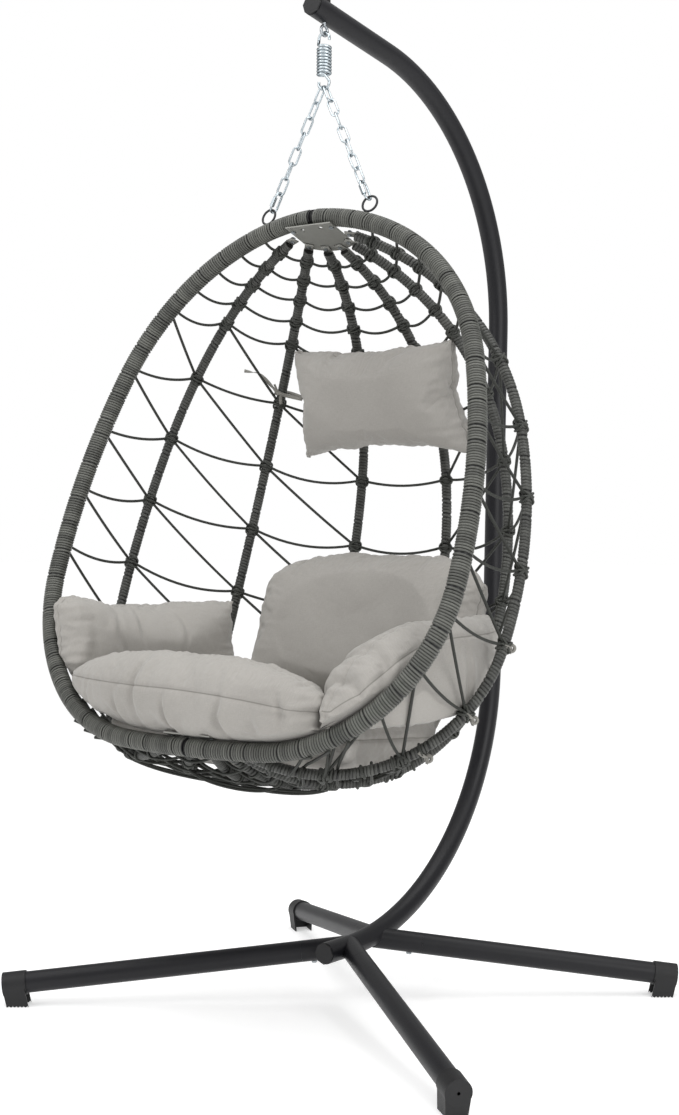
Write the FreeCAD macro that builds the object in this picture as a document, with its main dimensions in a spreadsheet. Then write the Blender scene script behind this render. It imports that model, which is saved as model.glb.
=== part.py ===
"""Hanging egg chair: a curved pole on four splayed legs carries a spring and two chains,
and from them a netted egg basket with its cushions. Millimetres, +Z up, the sitter faces -Y."""

import FreeCAD
import Part
import Sketcher
import math
import os

from FreeCAD import Placement, Rotation, Vector

doc = FreeCAD.newDocument("HangingEggChair")
sheet = doc.addObject("Spreadsheet::Sheet", "Sizes")

SIZES = [
    # The stand
    ("tube_dia", 42.0, "outer diameter of pole and legs"),
    ("tube_wall", 1.5, "wall of pole and legs"),
    ("neck_gap", 0.3, "clearance all round a neck in its socket"),
    ("middle_back", 74.9, "from the hub drawing's zero back to the middle of the whole chair"),
    ("hub_height", 115.1, "height of the pole's axis where the legs meet it"),
    ("hub_reach", 70.0, "straight run of the pole in front of its lower bend"),
    ("hub_bend", 539.1, "radius of the lower bend"),
    ("hub_bend_start", 28.8, "where the lower bend starts"),
    ("pole_lean", 1.5, "degrees that the upright leans back"),
    ("pole_run", 745.6, "straight part of the upright"),
    ("pole_split", 342.0, "upright below the joint of the two pole halves"),
    ("pole_neck", 90.0, "neck of the lower pole inside the upper one"),
    ("neck_root", 70.0, "the same neck inside its own tube"),
    ("arm_bend", 511.6, "radius of the upper bend"),
    ("arm_slope", 9.07, "degrees that the arm climbs to the front"),
    ("arm_run", 253.0, "straight part of the arm"),
    ("hook_in", 36.84, "eye bolt behind the arm's open end, along the arm"),
    ("bolt_dia", 6.0, "pole and leg bolts"),
    ("bolt_head", 11.0, "head of those bolts"),
    ("bolt_head_high", 3.5, "height of those heads"),
    ("bolt_gap", 0.2, "clearance all round a bolt"),
    ("pole_bolt_up", 57.0, "pole bolt above the joint"),
    ("front_station", 37.0, "where the front legs' axes cross the pole's"),
    ("rear_station", 128.0, "where the rear legs' axes cross the pole's"),
    ("front_splay", 51.5, "degrees of a front leg from straight ahead"),
    ("rear_splay", 53.1, "degrees of a rear leg from straight back"),
    ("front_reach", 682.5, "a front leg's reach on the floor plan"),
    ("rear_reach", 610.0, "a rear leg's reach on the floor plan"),
    ("foot_height", 40.0, "height of a leg's axis at its end"),
    ("socket_end", 95.0, "end of a socket from the pole's axis"),
    ("leg_neck", 50.0, "neck of a leg inside its socket"),
    ("leg_bolt_in", 24.0, "leg bolt inside the socket's end"),
    ("foot_collar", 46.0, "length of a foot's collar"),
    ("foot_wall", 2.6, "wall of a foot's collar"),
    ("foot_end", 3.0, "end wall of a foot"),
    ("foot_gap", 0.2, "clearance of a foot on its tube"),
    ("foot_pad", 43.0, "length of a foot's pad at the collar"),
    ("foot_lean", 9.0, "how far the pad's outer face leans in at the floor"),
    ("foot_hollow", 2.6, "wall of the hollow pad"),
    ("foot_top_wide", 45.7, "width of the pad at the tube"),
    ("foot_low_wide", 39.0, "width of the pad at the floor"),
    ("foot_hollow_high", 28.0, "height of the hollow in the pad"),
    ("tooth_share", 0.6, "part of a tooth's step that its notch takes"),
    ("foot_vent", 6.0, "hole in a foot's end"),
    ("tooth_count", 6.0, "teeth under a foot"),
    ("tooth_high", 3.0, "height of those teeth"),
    ("plug_head", 4.0, "head of a pole plug"),
    ("plug_in", 22.0, "plug inside the pole"),
    ("bolt_bevel", 0.8, "bevel on a leg bolt's head"),
    # The suspension
    ("eye_wire", 6.0, "wire of the eye and its bolt"),
    ("eye_radius", 9.5, "radius of the eye to the middle of its wire"),
    ("eye_shank", 8.0, "diameter of the eye bolt's shank"),
    ("eye_fit", 0.1, "clearance of the shank in the arm, all round"),
    ("saddle_dia", 24.0, "saddle washer on the arm"),
    ("saddle_high", 3.5, "saddle washer above the arm's top line"),
    ("nut_flat", 13.0, "eye bolt's nut across the flats"),
    ("nut_high", 7.0, "height of that nut"),
    ("rest_gap", 0.3, "gap between pieces that hang in or lie on each other"),
    ("spring_wire", 5.5, "wire of the spring"),
    ("spring_radius", 12.0, "radius of the coil to the middle of its wire"),
    ("spring_turns", 9.0, "turns of the coil"),
    ("spring_pitch", 6.0, "rise of one turn"),
    ("spring_below", 66.6, "the coil's upper end below the arm's axis"),
    ("hook_radius", 12.5, "radius of the spring's hooks"),
    ("hook_drop", 15.0, "from the coil's end to the middle of a hook"),
    ("chain_wire", 4.0, "wire of the chain"),
    ("link_half", 7.5, "half width of a link to the middle of its wire"),
    ("link_count", 7.0, "links in each chain"),
    ("chain_part", 4.5, "chains' places on the hook, each side of the middle"),
    ("quick_wire", 4.5, "wire of a quick link"),
    ("quick_half", 9.0, "half width of a quick link to the middle of its wire"),
    ("quick_length", 41.0, "length of a quick link to the middle of its wire"),
    ("sleeve_dia", 10.0, "screw sleeve of a quick link"),
    ("sleeve_long", 19.0, "length of that sleeve"),
    # The basket
    ("basket_fall", 263.7, "the hoop's top point below the middle of the spring's lower hook"),
    ("basket_ahead", 29.5, "the hoop's top point in front of the spring"),
    ("basket_tilt", 19.91, "degrees that the basket leans back"),
    ("half_fold", 3.27, "degrees that each hoop half is turned back"),
    ("hoop_dia", 35.0, "wound hoop tube"),
    ("hoop_split", 2.4, "gap between the hoop halves"),
    ("hoop_crown", 438.0, "radius of the hoop at the top"),
    ("hoop_crown_turn", 72.7, "degrees of that arc"),
    ("hoop_side", 1206.5, "radius of the hoop at its side"),
    ("hoop_side_turn", 19.6, "degrees of that arc"),
    ("hoop_heel", 335.2, "radius of the hoop at its lower corner"),
    ("hoop_heel_turn", 83.3, "degrees of that arc"),
    ("hoop_plug_head", 1.0, "plug in front of a hoop end"),
    ("hoop_plug_in", 1.5, "edge of a hoop end around its plug"),
    ("rib_dia", 20.0, "wound rib tube"),
    ("rib_circle", 75.8, "radius of the circle of rib bolts"),
    ("rib_heading", 10.3, "degrees that a rib dips at its upper end"),
    ("rib_crown", 511.0, "radius of a rib at the top"),
    ("rib_crown_turn", 60.6, "degrees of that arc"),
    ("rib_side", 928.5, "radius of a rib at its side"),
    ("rib_side_turn", 25.8, "degrees of that arc"),
    ("rib_heel", 313.6, "radius of a rib at the bottom"),
    ("rib_spread", 26.0, "degrees from rib to rib"),
    ("tab_long", 26.0, "flattened end of a rib"),
    ("tab_wide", 18.0, "width of that end"),
    ("tab_thick", 2.5, "thickness of that end"),
    ("plate_thick", 2.5, "thickness of the two plates"),
    ("plate_reach", 54.0, "half width of a plate at the hoop"),
    ("plate_front", 14.0, "plate in front of the hoop's axis"),
    ("plate_rim", 12.0, "plate outside the circle of rib bolts"),
    ("plate_hole", 9.0, "open holes in a plate"),
    ("hoop_bolt_at", 46.0, "hoop bolts each side of the middle"),
    ("plate_hole_at", 22.0, "open holes each side of the middle"),
    ("small_bolt", 5.0, "rib and hoop bolts"),
    ("small_head", 9.0, "heads of those bolts"),
    ("small_head_high", 2.6, "height of those heads"),
    ("ring_wire", 4.5, "wire of the rings on the hoop"),
    ("ring_radius", 15.75, "radius of those rings to the middle of the wire"),
    ("ring_at", 113.0, "rings on the hoop from its top point"),
    # The net
    ("rope_dia", 6.0, "rope of the net"),
    ("rope_gap", 0.15, "rope's end in front of the tube it is tied to"),
    ("first_rung", 50.0, "first rung along a rib"),
    ("rung_step", 54.5, "step of the rungs near the top"),
    ("top_rungs", 5.0, "rungs near the top"),
    ("knot_step", 137.0, "step of the knots further down"),
    ("low_rungs", 8.0, "knots further down"),
    ("rim_lead", 80.0, "hoop beside a rib's start"),
    ("rim_rate", 1.2, "hoop passed for each length of rib, at first"),
    ("rim_slack", 0.00022, "how this falls off down the rib"),
    # Cushions: length, depth, crown, middle from the hoop's top point, yaw and lean
    ("pad_seam", 26.0, "thickness of a cushion's edge"),
    ("pad_draw", 0.05, "share of its depth that a cushion's side is drawn in"),
    ("seat_long", 480.0, "seat cushion, across"),
    ("seat_deep", 340.0, "seat cushion, front to back"),
    ("seat_thick", 110.0, "seat cushion's crown"),
    ("seat_x", 0.0, "seat cushion's middle, across"),
    ("seat_y", -78.5, "seat cushion's middle, back"),
    ("seat_z", -944.8, "seat cushion's middle, up"),
    ("seat_yaw", 0.0, "seat cushion's yaw"),
    ("seat_lean", -6.0, "seat cushion's lean"),
    ("roll_long", 480.0, "front roll, across"),
    ("roll_deep", 120.0, "front roll's height"),
    ("roll_thick", 100.0, "front roll's crown"),
    ("roll_x", 0.0, "front roll's middle, across"),
    ("roll_y", -285.5, "front roll's middle, back"),
    ("roll_z", -895.4, "front roll's middle, up"),
    ("roll_yaw", 0.0, "front roll's yaw"),
    ("roll_lean", 90.0, "front roll's lean"),
    ("arm_long", 340.0, "arm bolster, front to back"),
    ("arm_deep", 140.0, "arm bolster's height"),
    ("arm_thick", 100.0, "arm bolster's crown"),
    ("arm_x", 359.2, "arm bolster's middle, across"),
    ("arm_y", -43.5, "arm bolster's middle, back"),
    ("arm_z", -790.8, "arm bolster's middle, up"),
    ("arm_yaw", 113.0, "arm bolster's yaw"),
    ("arm_lean", 90.0, "arm bolster's lean"),
    ("back_long", 430.0, "back cushion, across"),
    ("back_deep", 290.0, "back cushion, up"),
    ("back_thick", 100.0, "back cushion's crown"),
    ("back_x", 0.0, "back cushion's middle, across"),
    ("back_y", 177.2, "back cushion's middle, back"),
    ("back_z", -768.8, "back cushion's middle, up"),
    ("back_yaw", 0.0, "back cushion's yaw"),
    ("back_lean", 74.0, "back cushion's lean"),
    ("head_long", 380.0, "head pillow, across"),
    ("head_deep", 220.0, "head pillow, up"),
    ("head_thick", 100.0, "head pillow's crown"),
    ("head_x", 0.0, "head pillow's middle, across"),
    ("head_y", 210.0, "head pillow's middle, back"),
    ("head_z", -338.8, "head pillow's middle, up"),
    ("head_yaw", 0.0, "head pillow's yaw"),
    ("head_lean", 105.0, "head pillow's lean"),
]

for row, (alias, number, note) in enumerate(SIZES, start=1):
    sheet.set(f"A{row}", note)
    sheet.set(f"B{row}", str(number))
    sheet.setAlias(f"B{row}", alias)
doc.recompute()


def size(alias):
    """A driving dimension, read from the sheet."""
    return float(sheet.get(alias))


def whole(alias):
    """A count from the sheet."""
    return int(round(size(alias)))


def bind(expression):
    """Puts the sheet's name before each alias in an expression."""
    words = expression.replace("(", "( ").replace(")", " )").split()
    names = {alias for alias, _, _ in SIZES}
    return " ".join("Sizes." + word if word in names else word for word in words)


def polar(degrees):
    """Unit vector in the XY plane."""
    return Vector(math.cos(math.radians(degrees)), math.sin(math.radians(degrees)), 0)


def aim(base, direction, side=None):
    """Placement that turns local Z to a direction, and local X towards side."""
    along = Vector(direction).normalize()
    if side is None:
        return Placement(base, Rotation(Vector(0, 0, 1), along))
    return Placement(base, Rotation(Vector(side), Vector(0, 0, 0), along, "ZXY"))


def mirror_x(shape):
    """The same shape on the other side of the chair."""
    return shape.mirror(Vector(0, 0, 0), Vector(1, 0, 0))


SUBPARTS = {}
HOOP_SIDES = 16
RIB_SIDES = 8


def keep(name, obj, placement=None):
    """Names a finished sub-part and puts it in its place."""
    if placement is not None:
        obj.Placement = placement
    obj.Label = name
    SUBPARTS[name] = obj
    return obj


def solid(name, shape, placement=None):
    """A sub-part with a shape from arcs, sweeps or lofts."""
    feature = doc.addObject("Part::Feature", name)
    feature.Shape = shape
    own = shape.Placement
    return keep(name, feature, placement.multiply(own) if placement else own)


def turned(name, profile, placement):
    """A body turned about local Z. The profile lists (radius, height) as expressions."""
    body = doc.addObject("PartDesign::Body", name)
    sketch = body.newObject("Sketcher::SketchObject", name + "_profile")
    planes = {f.Role: f for f in body.Origin.OriginFeatures}
    sketch.AttachmentSupport = [(planes["XZ_Plane"], "")]
    sketch.MapMode = "FlatFace"
    probe = doc.addObject("Part::Vertex", "probe")
    places = []
    for radius, height in profile:
        probe.setExpression("X", bind(radius))
        probe.setExpression("Y", bind(height))
        probe.recompute()
        places.append((probe.X.Value, probe.Y.Value))
    doc.removeObject(probe.Name)
    for at, (x, y) in enumerate(places):
        x2, y2 = places[(at + 1) % len(places)]
        sketch.addGeometry(Part.LineSegment(Vector(x, y, 0), Vector(x2, y2, 0)))
    for at in range(len(places)):
        after = (at + 1) % len(places)
        sketch.addConstraint(Sketcher.Constraint("Coincident", at, 2, after, 1))
    for at, (radius, height) in enumerate(profile):
        x, y = places[at]
        if radius == "0":
            sketch.addConstraint(Sketcher.Constraint("PointOnObject", at, 1, -2))
        else:
            index = sketch.addConstraint(Sketcher.Constraint("DistanceX", -1, 1, at, 1, x))
            sketch.setExpression(f"Constraints[{index}]", bind(radius))
        if height == "0":
            sketch.addConstraint(Sketcher.Constraint("PointOnObject", at, 1, -1))
        else:
            index = sketch.addConstraint(Sketcher.Constraint("DistanceY", -1, 1, at, 1, y))
            sketch.setExpression(f"Constraints[{index}]", bind(height))
    turn = body.newObject("PartDesign::Revolution", name + "_turn")
    turn.Profile = (sketch, [""])
    turn.ReferenceAxis = (sketch, ["V_Axis"])
    turn.Angle = 360
    body.Tip = turn
    return keep(name, body, placement)


def cylinder(radius, start, end):
    """Round bar between two points."""
    axis = end.sub(start)
    return Part.makeCylinder(radius, axis.Length, start, axis)


def section(radius, base, direction, sides=0):
    """Wire of a round or many-sided section, square to a direction."""
    if not sides:
        return Part.Wire(Part.makeCircle(radius, base, direction))
    place = aim(base, direction)
    corners = [place.multVec(polar(360.0 * k / sides).multiply(radius)) for k in range(sides)]
    return Part.makePolygon(corners + corners[:1])


def sweep(path, radius, sides=0):
    """Solid of a section drawn along a wire of tangent arcs, by a pipe shell."""
    first = path.OrderedEdges[0]
    start = first.valueAt(first.FirstParameter)
    heading = first.tangentAt(first.FirstParameter)
    pipe = path.makePipeShell([section(radius, start, heading, sides)], True, False)
    return pipe if pipe.Volume > 0 else pipe.reversed()


def bend(edges, radius, sides=0):
    """Solid of a section taken along runs and tangent arcs: pushed along each run, turned
    about the middle of each arc. The section goes on unchanged from one to the next."""
    start = edges[0].valueAt(edges[0].FirstParameter)
    heading = edges[0].tangentAt(edges[0].FirstParameter)
    face = Part.Face(section(radius, start, heading, sides))
    pieces = []
    for edge in edges:
        near, far = edge.valueAt(edge.FirstParameter), edge.valueAt(edge.LastParameter)
        if edge.Curve.TypeId == "Part::GeomLine":
            pieces.append(face.extrude(far - near))
            face = face.translated(far - near)
            continue
        centre = edge.Curve.Center
        axis = (near - centre).cross(edge.tangentAt(edge.FirstParameter)).normalize()
        turn = math.degrees(edge.Length / edge.Curve.Radius)
        pieces.append(face.revolve(centre, axis, turn))
        face = face.rotated(centre, axis, turn)
    whole_bar = pieces[0].fuse(pieces[1:]) if len(pieces) > 1 else pieces[0]
    return whole_bar


def arc_chain(start, heading, pieces, across, down):
    """Edges of tangent arcs and runs in one plane. Each piece is (radius, degrees), or
    (0, length) for a run. The heading is in degrees from across towards down."""
    point = Vector(start)
    edges = []
    for radius, amount in pieces:
        if not radius:
            ahead = across * math.cos(math.radians(heading)) + down * math.sin(math.radians(heading))
            edges.append(Part.makeLine(point, point + ahead * amount))
            point = point + ahead * amount
            continue
        left = across * -math.sin(math.radians(heading)) + down * math.cos(math.radians(heading))
        centre = point + left * radius
        marks = []
        for part in (0.5, 1.0):
            turned_to = heading + amount * part
            out = across * math.sin(math.radians(turned_to)) - down * math.cos(math.radians(turned_to))
            marks.append(centre + out * radius)
        edges.append(Part.Arc(point, marks[0], marks[1]).toShape())
        point = marks[1]
        heading += amount
    return edges, point, heading


def place_on(edges, length):
    """Point and heading at a length along a chain of edges."""
    for edge in edges:
        if length <= edge.Length:
            break
        length -= edge.Length
    at = edge.getParameterByLength(min(length, edge.Length))
    return edge.valueAt(at), edge.tangentAt(at)


# The pole: two hollow tubes in the chair's middle plane
X, Y, Z = Vector(1, 0, 0), Vector(0, 1, 0), Vector(0, 0, 1)
zero = -size("middle_back")
tube_r = size("tube_dia") / 2
bore_r = tube_r - size("tube_wall")
neck_r = bore_r - size("neck_gap")
neck_bore = neck_r - size("tube_wall")


def tube(edges, outer, inner):
    """Hollow tube along a chain of edges."""
    return bend(edges, outer).cut(bend(edges, inner))


hub_front = Vector(0, zero + size("hub_bend_start") - size("hub_reach"), size("hub_height"))
upright_heading = 90 - size("pole_lean")
lower_edges, split, heading = arc_chain(
    hub_front,
    0,
    [(0, size("hub_reach")), (size("hub_bend"), upright_heading), (0, size("pole_split"))],
    Y,
    Z,
)
arm_turn = 90 + size("pole_lean") - size("arm_slope")
upper_edges, arm_end, arm_heading = arc_chain(
    split,
    heading,
    [(0, size("pole_run") - size("pole_split")), (size("arm_bend"), arm_turn), (0, size("arm_run"))],
    Y,
    Z,
)
up = Y * math.cos(math.radians(heading)) + Z * math.sin(math.radians(heading))
arm_way = Y * math.cos(math.radians(arm_heading)) + Z * math.sin(math.radians(arm_heading))

neck_low = split - up * size("neck_root")
neck_high = split + up * size("pole_neck")
neck = cylinder(bore_r, neck_low, split).fuse(cylinder(neck_r, split, neck_high))
neck = neck.cut(cylinder(neck_bore, neck_low, neck_high))
lower = tube(lower_edges, tube_r, bore_r).fuse(neck)
upper = tube(upper_edges, tube_r, bore_r)

# Bolt through the joint, from the rear right
bolt_r = size("bolt_dia") / 2
bolt_at = split + up * size("pole_bolt_up")
bolt_way = Vector(1, 1, 0).normalize()
bolt_hole = cylinder(bolt_r + size("bolt_gap"), bolt_at, bolt_at + bolt_way * (2 * tube_r))
upper = upper.cut(bolt_hole)
lower = lower.cut(bolt_hole)

# The eye bolt's two holes in the arm
arm_axis = arm_end - arm_way * size("hook_in")
hook_y = arm_axis.y
shank_r = size("eye_shank") / 2
arm_half = tube_r / math.cos(math.radians(size("arm_slope")))
eye_hole = cylinder(shank_r + size("eye_fit"), arm_axis - Z * 2 * tube_r, arm_axis + Z * 2 * tube_r)
solid("pole_upper", upper.cut(eye_hole))

# Sockets for the legs, welded on the lower pole
LEGS = {}
for end, ahead in (("front", -1), ("rear", 1)):
    for side, hand in (("left", -1), ("right", 1)):
        station = Vector(0, zero + size(end + "_station"), size("hub_height"))
        splay = math.radians(size(end + "_splay"))
        reach = size(end + "_reach")
        way = Vector(
            hand * reach * math.sin(splay),
            ahead * reach * math.cos(splay),
            size("foot_height") - size("hub_height"),
        )
        LEGS[end + "_" + side] = (station, Vector(way).normalize(), way.Length)

pole_core = bend(lower_edges[:2], (tube_r + bore_r) / 2)
leg_bolts = []
for station, way, length in LEGS.values():
    socket_mouth = station + way * size("socket_end")
    socket = cylinder(tube_r, station, socket_mouth).cut(cylinder(bore_r, station, socket_mouth))
    below = Z.cross(way).cross(way).normalize()
    if below.z > 0:
        below = below.negative()
    bolt_from = station + way * (size("socket_end") - size("leg_bolt_in"))
    hole = cylinder(bolt_r + size("bolt_gap"), bolt_from, bolt_from + below * (tube_r + 1))
    lower = lower.fuse(socket.cut(pole_core)).cut(hole)
    head_from = bolt_from + below * (tube_r + size("rest_gap"))
    bolt = cylinder(bolt_r, bolt_from + below * (neck_bore - 2), head_from)
    head = cylinder(size("bolt_head") / 2, head_from, head_from + below * size("bolt_head_high"))
    leg_bolts.append(bolt.fuse(head.makeChamfer(size("bolt_bevel"), head.Edges[:1])))
solid("pole_lower", lower.removeSplitter())
solid("leg_bolts", Part.makeCompound(leg_bolts))

head_seat = bolt_at + bolt_way * (tube_r + size("rest_gap"))
turned(
    "pole_bolt",
    [
        ("0", "0 - tube_dia / 2"),
        ("bolt_dia / 2", "0 - tube_dia / 2"),
        ("bolt_dia / 2", "0"),
        ("bolt_head / 2", "0"),
        ("bolt_head / 2", "bolt_head_high * 0.5"),
        ("bolt_head / 2 - bolt_head_high * 0.5", "bolt_head_high"),
        ("0", "bolt_head_high"),
    ],
    aim(head_seat, bolt_way),
)

# Legs: hollow tubes with a narrowed neck, and a hole for the leg bolt
for name, (station, way, length) in LEGS.items():
    end = name.split("_")[0]
    shape_name = "leg_" + name
    below = Z.cross(way).cross(way).normalize()
    if below.z > 0:
        below = below.negative()
    start = station + way * (size("socket_end") + size("rest_gap"))
    run = f"sqrt( {end}_reach ^ 2 + ( hub_height - foot_height ) ^ 2 ) - socket_end - foot_end - 2 * rest_gap"
    leg = turned(
        shape_name,
        [
            ("tube_dia / 2 - 2 * tube_wall - neck_gap", "0 - leg_neck"),
            ("tube_dia / 2 - tube_wall - neck_gap", "0 - leg_neck"),
            ("tube_dia / 2 - tube_wall - neck_gap", "0"),
            ("tube_dia / 2", "0"),
            ("tube_dia / 2", run),
            ("tube_dia / 2 - tube_wall", run),
            ("tube_dia / 2 - tube_wall", "tube_wall"),
            ("tube_dia / 2 - 2 * tube_wall - neck_gap", "tube_wall"),
        ],
        aim(start, way, below),
    )
    drill = leg.newObject("Sketcher::SketchObject", shape_name + "_drill")
    planes = {f.Role: f for f in leg.Origin.OriginFeatures}
    drill.AttachmentSupport = [(planes["YZ_Plane"], "")]
    drill.MapMode = "FlatFace"
    depth = size("leg_bolt_in") + size("rest_gap")
    radius = bolt_r + size("bolt_gap")
    drill.addGeometry(Part.Circle(Vector(0, -depth, 0), Z, radius))
    drill.addConstraint(Sketcher.Constraint("PointOnObject", 0, 3, -2))
    drill.addConstraint(Sketcher.Constraint("DistanceY", 0, 3, -1, 1, depth))
    drill.setExpression("Constraints[1]", bind("leg_bolt_in + rest_gap"))
    drill.addConstraint(Sketcher.Constraint("Radius", 0, radius))
    drill.setExpression("Constraints[2]", bind("bolt_dia / 2 + bolt_gap"))
    cut = leg.newObject("PartDesign::Pocket", shape_name + "_hole")
    cut.Profile = (drill, [""])
    cut.Type = 0
    cut.setExpression("Length", bind("tube_dia"))
    cut.Reversed = True
    leg.Tip = cut

# Foot caps: a sloping collar over the tube's end on a hollow pad with teeth
collar_r = tube_r + size("foot_gap") + size("foot_wall")
for name, (station, way, length) in LEGS.items():
    tip = station + way * length
    flat = Vector(way.x, way.y, 0).normalize()
    wide = Z.cross(flat)
    foot = Vector(tip.x, tip.y, 0)
    mouth = tip - way * size("foot_collar")
    collar = cylinder(collar_r, mouth, tip)
    lean = size("foot_lean")
    inner = size("foot_pad")
    half = size("foot_low_wide") / 2
    shoulder = size("foot_top_wide") / 2
    low = [
        foot - flat * lean - wide * half,
        foot - flat * lean + wide * half,
        foot - flat * (inner + lean) + wide * half,
        foot - flat * (inner + lean) - wide * half,
    ]
    rise = Z * size("foot_height")
    top = [
        foot - wide * shoulder + rise,
        foot + wide * shoulder + rise,
        foot - flat * inner + wide * shoulder + rise,
        foot - flat * inner - wide * shoulder + rise,
    ]
    block = Part.makeLoft([Part.makePolygon(ring + ring[:1]) for ring in (low, top)], True, True)
    shift = flat * -size("foot_hollow")
    thin = size("foot_hollow")
    below = Z * size("rest_gap")
    inside_low = [
        low[0] + shift + wide * thin - below,
        low[1] + shift - wide * thin - below,
        low[2] - flat * thin - wide * thin - below,
        low[3] - flat * thin + wide * thin - below,
    ]
    inside_top = [p + Z * size("foot_hollow_high") for p in inside_low]
    hollow = Part.makeLoft(
        [Part.makePolygon(ring + ring[:1]) for ring in (inside_low, inside_top)], True, True
    )
    teeth = []
    tooth_step = inner / whole("tooth_count")
    notch_long = tooth_step * size("tooth_share")
    for k in range(whole("tooth_count")):
        at = foot - flat * (lean + tooth_step * (k + 1)) - wide * (2 * half)
        points = [at, at + flat * notch_long, at + flat * (notch_long / 2) + Z * size("tooth_high")]
        notch = Part.Face(Part.makePolygon(points + points[:1])).extrude(wide * (4 * half))
        teeth.append(notch)
    bore = cylinder(tube_r + size("foot_gap"), mouth - way, tip - way * size("foot_end"))
    vent = cylinder(size("foot_vent") / 2, tip - way * size("foot_collar"), tip + way * inner)
    shell = collar.fuse(block.cut(hollow.cut(collar))).cut(bore).cut(vent)
    shell = shell.cut(Part.makeCompound(teeth))
    solid("foot_" + name, shell.removeSplitter())

# Plugs in the two open pole ends, with an eight-sided face
for name, end_point, outward in (
    ("plug_hub", hub_front, Y.negative()),
    ("plug_arm", arm_end, arm_way),
):
    face = section(tube_r, end_point + outward * size("rest_gap"), outward, 8)
    head = Part.Face(face).extrude(outward * size("plug_head"))
    stem = cylinder(neck_r, end_point - outward * size("plug_in"), end_point + outward * size("rest_gap"))
    solid(name, head.fuse(stem).removeSplitter())

# Saddle washer on the arm: flat on top, hollowed to the tube below
saddle_top = arm_axis + Z * (arm_half + size("saddle_high"))
saddle_low = arm_axis + Z * (arm_half - size("saddle_dia") / 4)
saddle = cylinder(size("saddle_dia") / 2, saddle_low, saddle_top)
saddle = saddle.cut(bend(upper_edges[-1:], tube_r + size("rest_gap") / 3))
solid("arm_saddle", saddle.cut(eye_hole))

def round_ring(middle, normal, radius, wire, sides):
    """Closed ring of many-sided wire."""
    side = normal.cross(Z).normalize()
    face = Part.Face(section(wire, middle + side * radius, side.cross(normal), sides))
    half = face.revolve(middle, normal, 180)
    return half.fuse(face.revolve(middle, normal, -180)).removeSplitter()


# The eye that the spring hangs in, under the arm
wire_r = size("spring_wire") / 2
hook_r = size("hook_radius")
coil_top = arm_axis - Z * size("spring_below")
coil_long = size("spring_pitch") * size("spring_turns")
top_hook_middle = coil_top + Z * size("hook_drop")
apex = top_hook_middle + Z * hook_r
eye_low = apex - Z * (wire_r + size("eye_wire") / 2 + size("rest_gap"))
eye_middle = eye_low + Z * size("eye_radius")
shank_from = eye_middle + Z * size("eye_radius")
nut_low = saddle_top + Z * size("rest_gap")
nut_top = nut_low + Z * size("nut_high")
shank = cylinder(shank_r, shank_from, nut_top)
eye_ring = round_ring(eye_middle, X, size("eye_radius"), size("eye_wire") / 2, 8)
solid("eye_bolt", eye_ring.fuse(shank).removeSplitter())
nut_r = size("nut_flat") / math.sqrt(3)
nut = Part.Face(section(nut_r, nut_low, Z, 6)).extrude(Z * size("nut_high"))
solid("eye_nut", nut.cut(cylinder(shank_r, nut_low, nut_top)))


def biarc(start, leave, end, arrive):
    """Two tangent arcs from one point and heading to another."""
    span = end - start
    both = leave + arrive
    bend = 1 - leave.dot(arrive)
    reach = (
        math.sqrt(span.dot(both) ** 2 + 2 * bend * span.dot(span)) - span.dot(both)
    ) / (2 * bend)
    first, last = start + leave * reach, end - arrive * reach
    meet = (first + last) * 0.5
    arcs = []
    for near, corner, far in ((start, first, meet), (meet, last, end)):
        chord = (near + far) * 0.5
        cosine = (near - chord).Length / (near - corner).Length
        top = chord + (corner - chord) * (cosine / (1 + cosine))
        arcs.append(Part.Arc(near, top, far).toShape())
    return arcs


# The coil, from its front at the top down to its front at the bottom
coil_r = size("spring_radius")
WIRE_SIDES = 6
QUARTER = 90.0
fall = -size("spring_pitch") / 4


def coil_mark(quarters):
    """Point and heading after some quarter turns of the coil."""
    turn = -90 + QUARTER * quarters
    point = coil_top + polar(turn) * coil_r + Z * (fall * quarters)
    speed = polar(turn + 90) * (coil_r * math.radians(QUARTER)) + Z * fall
    return point, speed.normalize()


coil_edges = []
for k in range(4 * whole("spring_turns")):
    here, there = coil_mark(k), coil_mark(k + 1)
    coil_edges += biarc(here[0], here[1], there[0], there[1])
solid("spring_coil", sweep(Part.Wire(coil_edges), wire_r, WIRE_SIDES))

samples = []
for k in range(16 * whole("spring_turns") + 1):
    samples.append(coil_mark(k / 4.0)[0])
gaps = [
    (samples[i] - samples[j]).Length - size("spring_wire")
    for i in range(len(samples))
    for j in range(i + 8, len(samples))
]
print(f"spring coil: least gap to itself {min(gaps):.2f} mm")

# A hook leaves the coil at its front and swings round in the chair's cross plane
hook_start, hook_leave = coil_mark(4 * whole("spring_turns"))
coil_low = coil_top - Z * coil_long
low_hook_middle = coil_low - Z * size("hook_drop")
hook_side = low_hook_middle + X * hook_r
hook_edges = biarc(hook_start, hook_leave, hook_side, Z.negative())
HOOK_OPEN = 15.0
for first, last in ((0, 90), (90, 180), (180, 180 + HOOK_OPEN)):
    marks = [
        low_hook_middle + X * hook_r * math.cos(math.radians(d)) - Z * hook_r * math.sin(math.radians(d))
        for d in (first, (first + last) / 2.0, last)
    ]
    hook_edges.append(Part.Arc(*marks).toShape())
low_hook = sweep(Part.Wire(hook_edges), wire_r, WIRE_SIDES)
solid("spring_hook_bottom", low_hook)
coil_middle = coil_top - Z * (coil_long / 2)
solid("spring_hook_top", low_hook.rotated(coil_middle, Y, 180))

# The basket's own frame: X across, Y to the back of the egg, Z up along its axis
tilt = size("basket_tilt")
basket_top = low_hook_middle - Y * size("basket_ahead") - Z * size("basket_fall")
basket = Placement(basket_top, Rotation(X, -tilt))
DOWN = Z.negative()


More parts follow.
